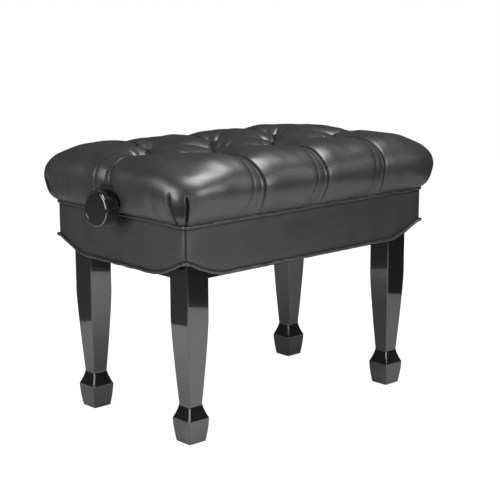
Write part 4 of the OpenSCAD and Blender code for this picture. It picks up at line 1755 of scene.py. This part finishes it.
@dataclass
class TuftButton:
    """A leather-covered button, domed, gathered under its rim. Millimetres."""

    radius: float = 8.9
    middle: float = 439.6
    dome: float = 4.2
    below: float = 0.6
    flattened: float = 0.75
    gather: float = 0.22
    gathers: int = 11
    gather_ramp: Ramp = (0.72, 0.28)

    def build(self, places: Sequence[Spot], leather: bpy.types.Material) -> bpy.types.Object:
        """Shapes one button, copies it to every tuft and joins the copies.

        Args:
            places: middles of the tufts.
            leather: the finish.

        Returns:
            The finished piece.
        """
        first, *others = places
        x0, y0, z0 = first[0] * MM, first[1] * MM, self.middle * MM
        clear_selection()
        bpy.ops.mesh.primitive_uv_sphere_add(
            segments=40, ring_count=20, radius=self.radius * MM, location=(x0, y0, z0))
        button = name_piece("tuft_button")
        bpy.ops.object.transform_apply(location=True, rotation=True, scale=True)
        edit(button)
        bpy.ops.mesh.select_all(action="SELECT")
        centre = (0, 0, z0)
        bpy.ops.transform.resize(value=(1, 1, self.dome / self.radius), center_override=centre)
        pick(button, "VERT", lambda c: c.z < (self.middle - self.below) * MM)
        bpy.ops.transform.resize(value=(1, 1, self.flattened), center_override=centre)
        leave_edit()
        co = points_of(button)
        angle = np.arctan2(co[:, 1] - y0, co[:, 0] - x0)
        reach = np.hypot(co[:, 1] - y0, co[:, 0] - x0) / (self.radius * MM)
        wave = 0.5 + 0.5 * np.sin(self.gathers * angle)
        co[:, 2] -= self.gather * MM * wave * ramp(reach, *self.gather_ramp)
        lay_points(button, co)
        shade(button)
        copies = [button]
        for x, y in others:
            make_active(button)
            bpy.ops.object.duplicate(linked=False)
            copy = bpy.context.object
            move = ((x - first[0]) * MM, (y - first[1]) * MM, 0)
            lay_points(copy, points_of(copy) + np.array(move))
            copies.append(copy)
        clear_selection()
        for copy in copies:
            copy.select_set(True)
        bpy.context.view_layer.objects.active = button
        bpy.ops.object.join()
        piece = name_piece("leather_tuft_buttons")
        dress(piece, leather, Body.SEAT)
        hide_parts("tuft_buttons")
        return piece


# ---------- base and knobs ----------

# metres
TOUCHING = 1e-6
OFF_LINE = 1e-5
CLEAR_OF_MIDDLE = 0.012
NEAR_AXIS = 0.004


@dataclass
class TaperedLeg:
    """A square leg, tapered in a gentle curve to a neck over a spade foot. Millimetres."""

    node: str
    end: Side
    side: Side
    centre_x: float = 239.0
    centre_y: float = 130.5
    head: float = 390.0
    shoulder: float = 210.0
    neck: float = 66.0
    widest: float = 41.0
    sole: float = 1.0
    edge: float = 1.7
    flat: float = 28.0
    # half widths, and how each curve between them bends
    head_half: float = 22.5
    neck_half: float = 13.9
    foot_half: float = 21.9
    sole_half: float = 17.3
    taper_power: float = 1.25
    flare_power: float = 1.45
    foot_power: float = 1.6

    def half(self, z: float) -> float:
        """Half the width of the leg at a height.

        Args:
            z: the height.

        Returns:
            The half width.
        """
        head, neck, foot, sole = self.head_half, self.neck_half, self.foot_half, self.sole_half
        if z >= self.shoulder:
            return head
        if z >= self.neck:
            share = (self.shoulder - z) / (self.shoulder - self.neck)
            return head - (head - neck) * share**self.taper_power
        if z >= self.widest:
            share = (self.neck - z) / (self.neck - self.widest)
            return neck + (foot - neck) * share**self.flare_power
        share = (self.widest - z) / self.widest
        return foot - (foot - sole) * share**self.foot_power

    def levels(self) -> list[float]:
        """Heights of the sections below the shoulder, from the top down."""
        upper = np.linspace(self.shoulder, self.neck + 6, 30)[1:]
        flare = np.linspace(self.neck + 3, self.widest, 15)
        foot = np.linspace(self.widest, self.sole, 12)[1:]
        return [float(z) for z in (*upper, *flare, *foot)]

    def build(self, lacquer: bpy.types.Material) -> bpy.types.Object:
        """Draws the leg down from its square head and softens its edges.

        Args:
            lacquer: the finish.

        Returns:
            The finished piece.
        """
        x, y = self.end * self.centre_x * MM, self.side * self.centre_y * MM
        high = (self.head - self.shoulder) * MM
        clear_selection()
        wide = 2 * self.head_half * MM
        bpy.ops.mesh.primitive_cube_add(
            size=1, location=(x, y, self.shoulder * MM + high / 2), scale=(wide, wide, high))
        leg = name_piece(self.node + "_turned")
        bpy.ops.object.transform_apply(location=True, rotation=True, scale=True)
        edit(leg, "FACE")
        pick(leg, "FACE", lambda c: c.z < (self.shoulder + 0.1) * MM)
        width, z = self.half(self.shoulder), self.shoulder
        for level in self.levels():
            down = (0, 0, (level - z) * MM)
            bpy.ops.mesh.extrude_region_move(TRANSFORM_OT_translate={"value": down})
            share = self.half(level) / width
            bpy.ops.transform.resize(value=(share, share, 1), center_override=(x, y, level * MM))
            width, z = self.half(level), level
        leave_edit()
        self._soften(leg, x, y)
        leg.modifiers.new("flat_faces", "WEIGHTED_NORMAL").keep_sharp = True
        shade(leg, self.flat)
        apply_all(leg)
        dress(leg, lacquer, Body.BASE)
        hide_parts(self.node)
        return leg

    def _soften(self, leg: bpy.types.Object, x: float, y: float) -> None:
        """Rounds the four long edges.

        Args:
            leg: the leg.
            x: its middle along the bench, in metres.
            y: its middle across the bench, in metres.
        """

        def on_long_edge(c: Vector) -> bool:
            """Whether a place is as far out along as across, and away from the middle."""
            along, across = abs(c.x - x), abs(c.y - y)
            return abs(along - across) < OFF_LINE and along > CLEAR_OF_MIDDLE

        edit(leg, "EDGE")
        pick(leg, "EDGE", on_long_edge)
        bpy.ops.mesh.bevel(
            offset=self.edge * MM, offset_type="OFFSET", segments=4, profile=0.5,
            clamp_overlap=True,
        )
        leave_edit()


@dataclass
class LiftKnob:
    """A round gloss knob on the end of the lift shaft, with a short boss behind it. Millimetres."""

    node: str
    end: Side
    radius: float = 30.0
    back: float = 300.0
    long: float = 27.0
    axis: float = 384.0
    rim: float = 3.0
    boss_radius: float = 12.0
    boss_long: float = 8.0
    bore: float = 7.05
    bore_deep: float = 14.0
    back_rim: float = 1.6
    # inset and sink of each step on the face
    steps: tuple[Spot, ...] = ((0.35, 0.0), (0.3, -0.25), (10.0, 0.12))

    def _disc(self, level: float) -> Callable[[Vector], bool]:
        """A test for the flat disc at a distance along the shaft, in metres."""
        axis = self.axis * MM
        return lambda c: (
            abs(abs(c.x) - level) < TOUCHING and math.hypot(c.y, c.z - axis) < NEAR_AXIS)

    @staticmethod
    def _draw(distance: float) -> None:
        """Draws the selected faces out along the shaft."""
        bpy.ops.mesh.extrude_region_move(TRANSFORM_OT_translate={"value": (distance, 0, 0)})

    def build(self, gloss: bpy.types.Material) -> bpy.types.Object:
        """Turns the knob from a plain disc.

        Args:
            gloss: the finish.

        Returns:
            The finished piece.
        """
        s = float(self.end)
        middle = Vector((s * (self.back + self.long / 2) * MM, 0, self.axis * MM))
        clear_selection()
        bpy.ops.mesh.primitive_cylinder_add(
            vertices=112, radius=self.radius * MM, depth=self.long * MM,
            location=middle, rotation=(0, math.radians(90) * s, 0),
        )
        knob = name_piece(self.node + "_turned")
        bpy.ops.object.transform_apply(location=True, rotation=True, scale=True)
        edit(knob, "EDGE")
        face, back = (self.back + self.long) * MM, self.back * MM
        pick(knob, "EDGE", lambda c: abs(abs(c.x) - face) < TOUCHING)
        bpy.ops.mesh.bevel(offset=self.rim * MM, segments=7, profile=0.5)
        pick(knob, "EDGE", lambda c: abs(abs(c.x) - back) < TOUCHING)
        bpy.ops.mesh.bevel(offset=self.back_rim * MM, segments=4, profile=0.5)
        pick(knob, "FACE", self._disc(face))
        for inset, sink in self.steps:
            bpy.ops.mesh.inset(thickness=inset * MM, depth=sink * MM)
        # the boss behind, bored for the shaft
        pick(knob, "FACE", self._disc(back))
        bpy.ops.mesh.inset(thickness=(self.radius - self.back_rim - self.boss_radius) * MM, depth=0)
        self._draw(-s * self.boss_long * MM)
        bpy.ops.mesh.inset(thickness=(self.boss_radius - self.bore) * MM, depth=0)
        self._draw(s * self.bore_deep * MM)
        leave_edit()
        face_outward(knob)
        shade(knob, 30)
        dress(knob, gloss, Body.LIFT_SHAFT)
        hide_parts(self.node)
        return knob


@dataclass
class HardwareFinishes:
    """Dresses every CAD node that still shows, by its material slot in the record."""

    def materials(self, leather: bpy.types.Material, lacquer: bpy.types.Material,
                  gloss: bpy.types.Material) -> dict[str, bpy.types.Material]:
        """One finish for each slot.

        Args:
            leather: the leather of the welts and buttons.
            lacquer: the lacquer of the legs and rails.
            gloss: the finish of the knobs.

        Returns:
            The finishes by slot, and the stain of the seat box.
        """
        stained = Plywood("stained_plywood", (0.030, 0.026, 0.022), (0.014, 0.012, 0.010))
        zinc = Metal("bright_zinc", (0.60, 0.61, 0.62), 0.26, tint=(0.45, 0.46, 0.44))
        brass = Metal("turned_brass", (0.74, 0.56, 0.27), 0.24, brushing=(300, 300, 30))
        return {
            "black_leather": leather,
            "padded_leather": leather,
            "black_lacquer": lacquer,
            "gloss_black_knob": gloss,
            "plywood": Plywood("birch_plywood").make(),
            "stained": stained.make(),
            "zinc_steel": zinc.make(),
            "channel_steel": PowderCoat("channel_powder_coat", (0.035, 0.035, 0.037)).make(),
            "arm_steel": PowderCoat("arm_powder_coat", (0.030, 0.030, 0.032), 0.36).make(),
            "black_steel": Metal("blackened_steel", (0.075, 0.075, 0.08), 0.34).make(),
            "bush_brass": brass.make(),
            "cast_block": PowderCoat("painted_casting", (0.16, 0.16, 0.17), 0.5, 0.12).make(),
            "white_nylon": Moulding("natural_nylon", (0.80, 0.79, 0.74), 0.42, 0.1).make(),
            "black_nylon": Moulding("black_nylon", (0.025, 0.025, 0.026), 0.45).make(),
            "waxed_twine": Twine("waxed_twine").make(),
        }

    def dress(self, finishes: dict[str, bpy.types.Material]) -> None:
        """Puts each node in its finish.

        Args:
            finishes: what materials() returned.
        """
        for part in frame["record"]["subparts"]:
            node = frame["nodes"][part["node"]]
            node.data.materials.clear()
            # the seat box is stained black, since its lower edge shows
            stained = part["node"].startswith("box_board")
            node.data.materials.append(finishes["stained" if stained else part["material_slot"]])
            LOG.info("%s: %s", part["node"], part["material_slot"])


def main() -> None:
    """Builds the scene in order: camera, studio, then each sub-assembly."""
    logging.basicConfig(level=logging.INFO, format="%(name)s: %(message)s")
    clear_selection()
    BenchCamera().build()
    Studio().build()
    tufted = Leather("tufted_leather", folds=True).make()
    leather = Leather("skirt_leather", folds=True).make()
    cord = Leather("welt_leather", roughness=0.34).make()
    lacquer = Lacquer("black_lacquer").make()
    gloss = Lacquer("gloss_moulding", (0.006, 0.006, 0.0065), 0.06, swell=0.04).make()
    cushion = TuftedCushion()
    cushion.build(tufted)
    TuftButton().build(cushion.tufts(), cord)
    PaddedSkirt().build(leather)
    Welt("top_welt_sewn", "top_welt", 370.0).build(cord)
    Welt("bottom_welt_sewn", "bottom_welt", 286.0, rise=30.0, tip=1.6, seed=41).build(cord)
    for end, end_name in ((Side.LOW, "left"), (Side.HIGH, "right")):
        for side, side_name in ((Side.LOW, "front"), (Side.HIGH, "back")):
            TaperedLeg(f"leg_{side_name}_{end_name}", end, side).build(lacquer)
        LiftKnob(f"knob_{end_name}", end).build(gloss)
    hardware = HardwareFinishes()
    hardware.dress(hardware.materials(cord, lacquer, gloss))


if __name__ == "__main__":
    main()
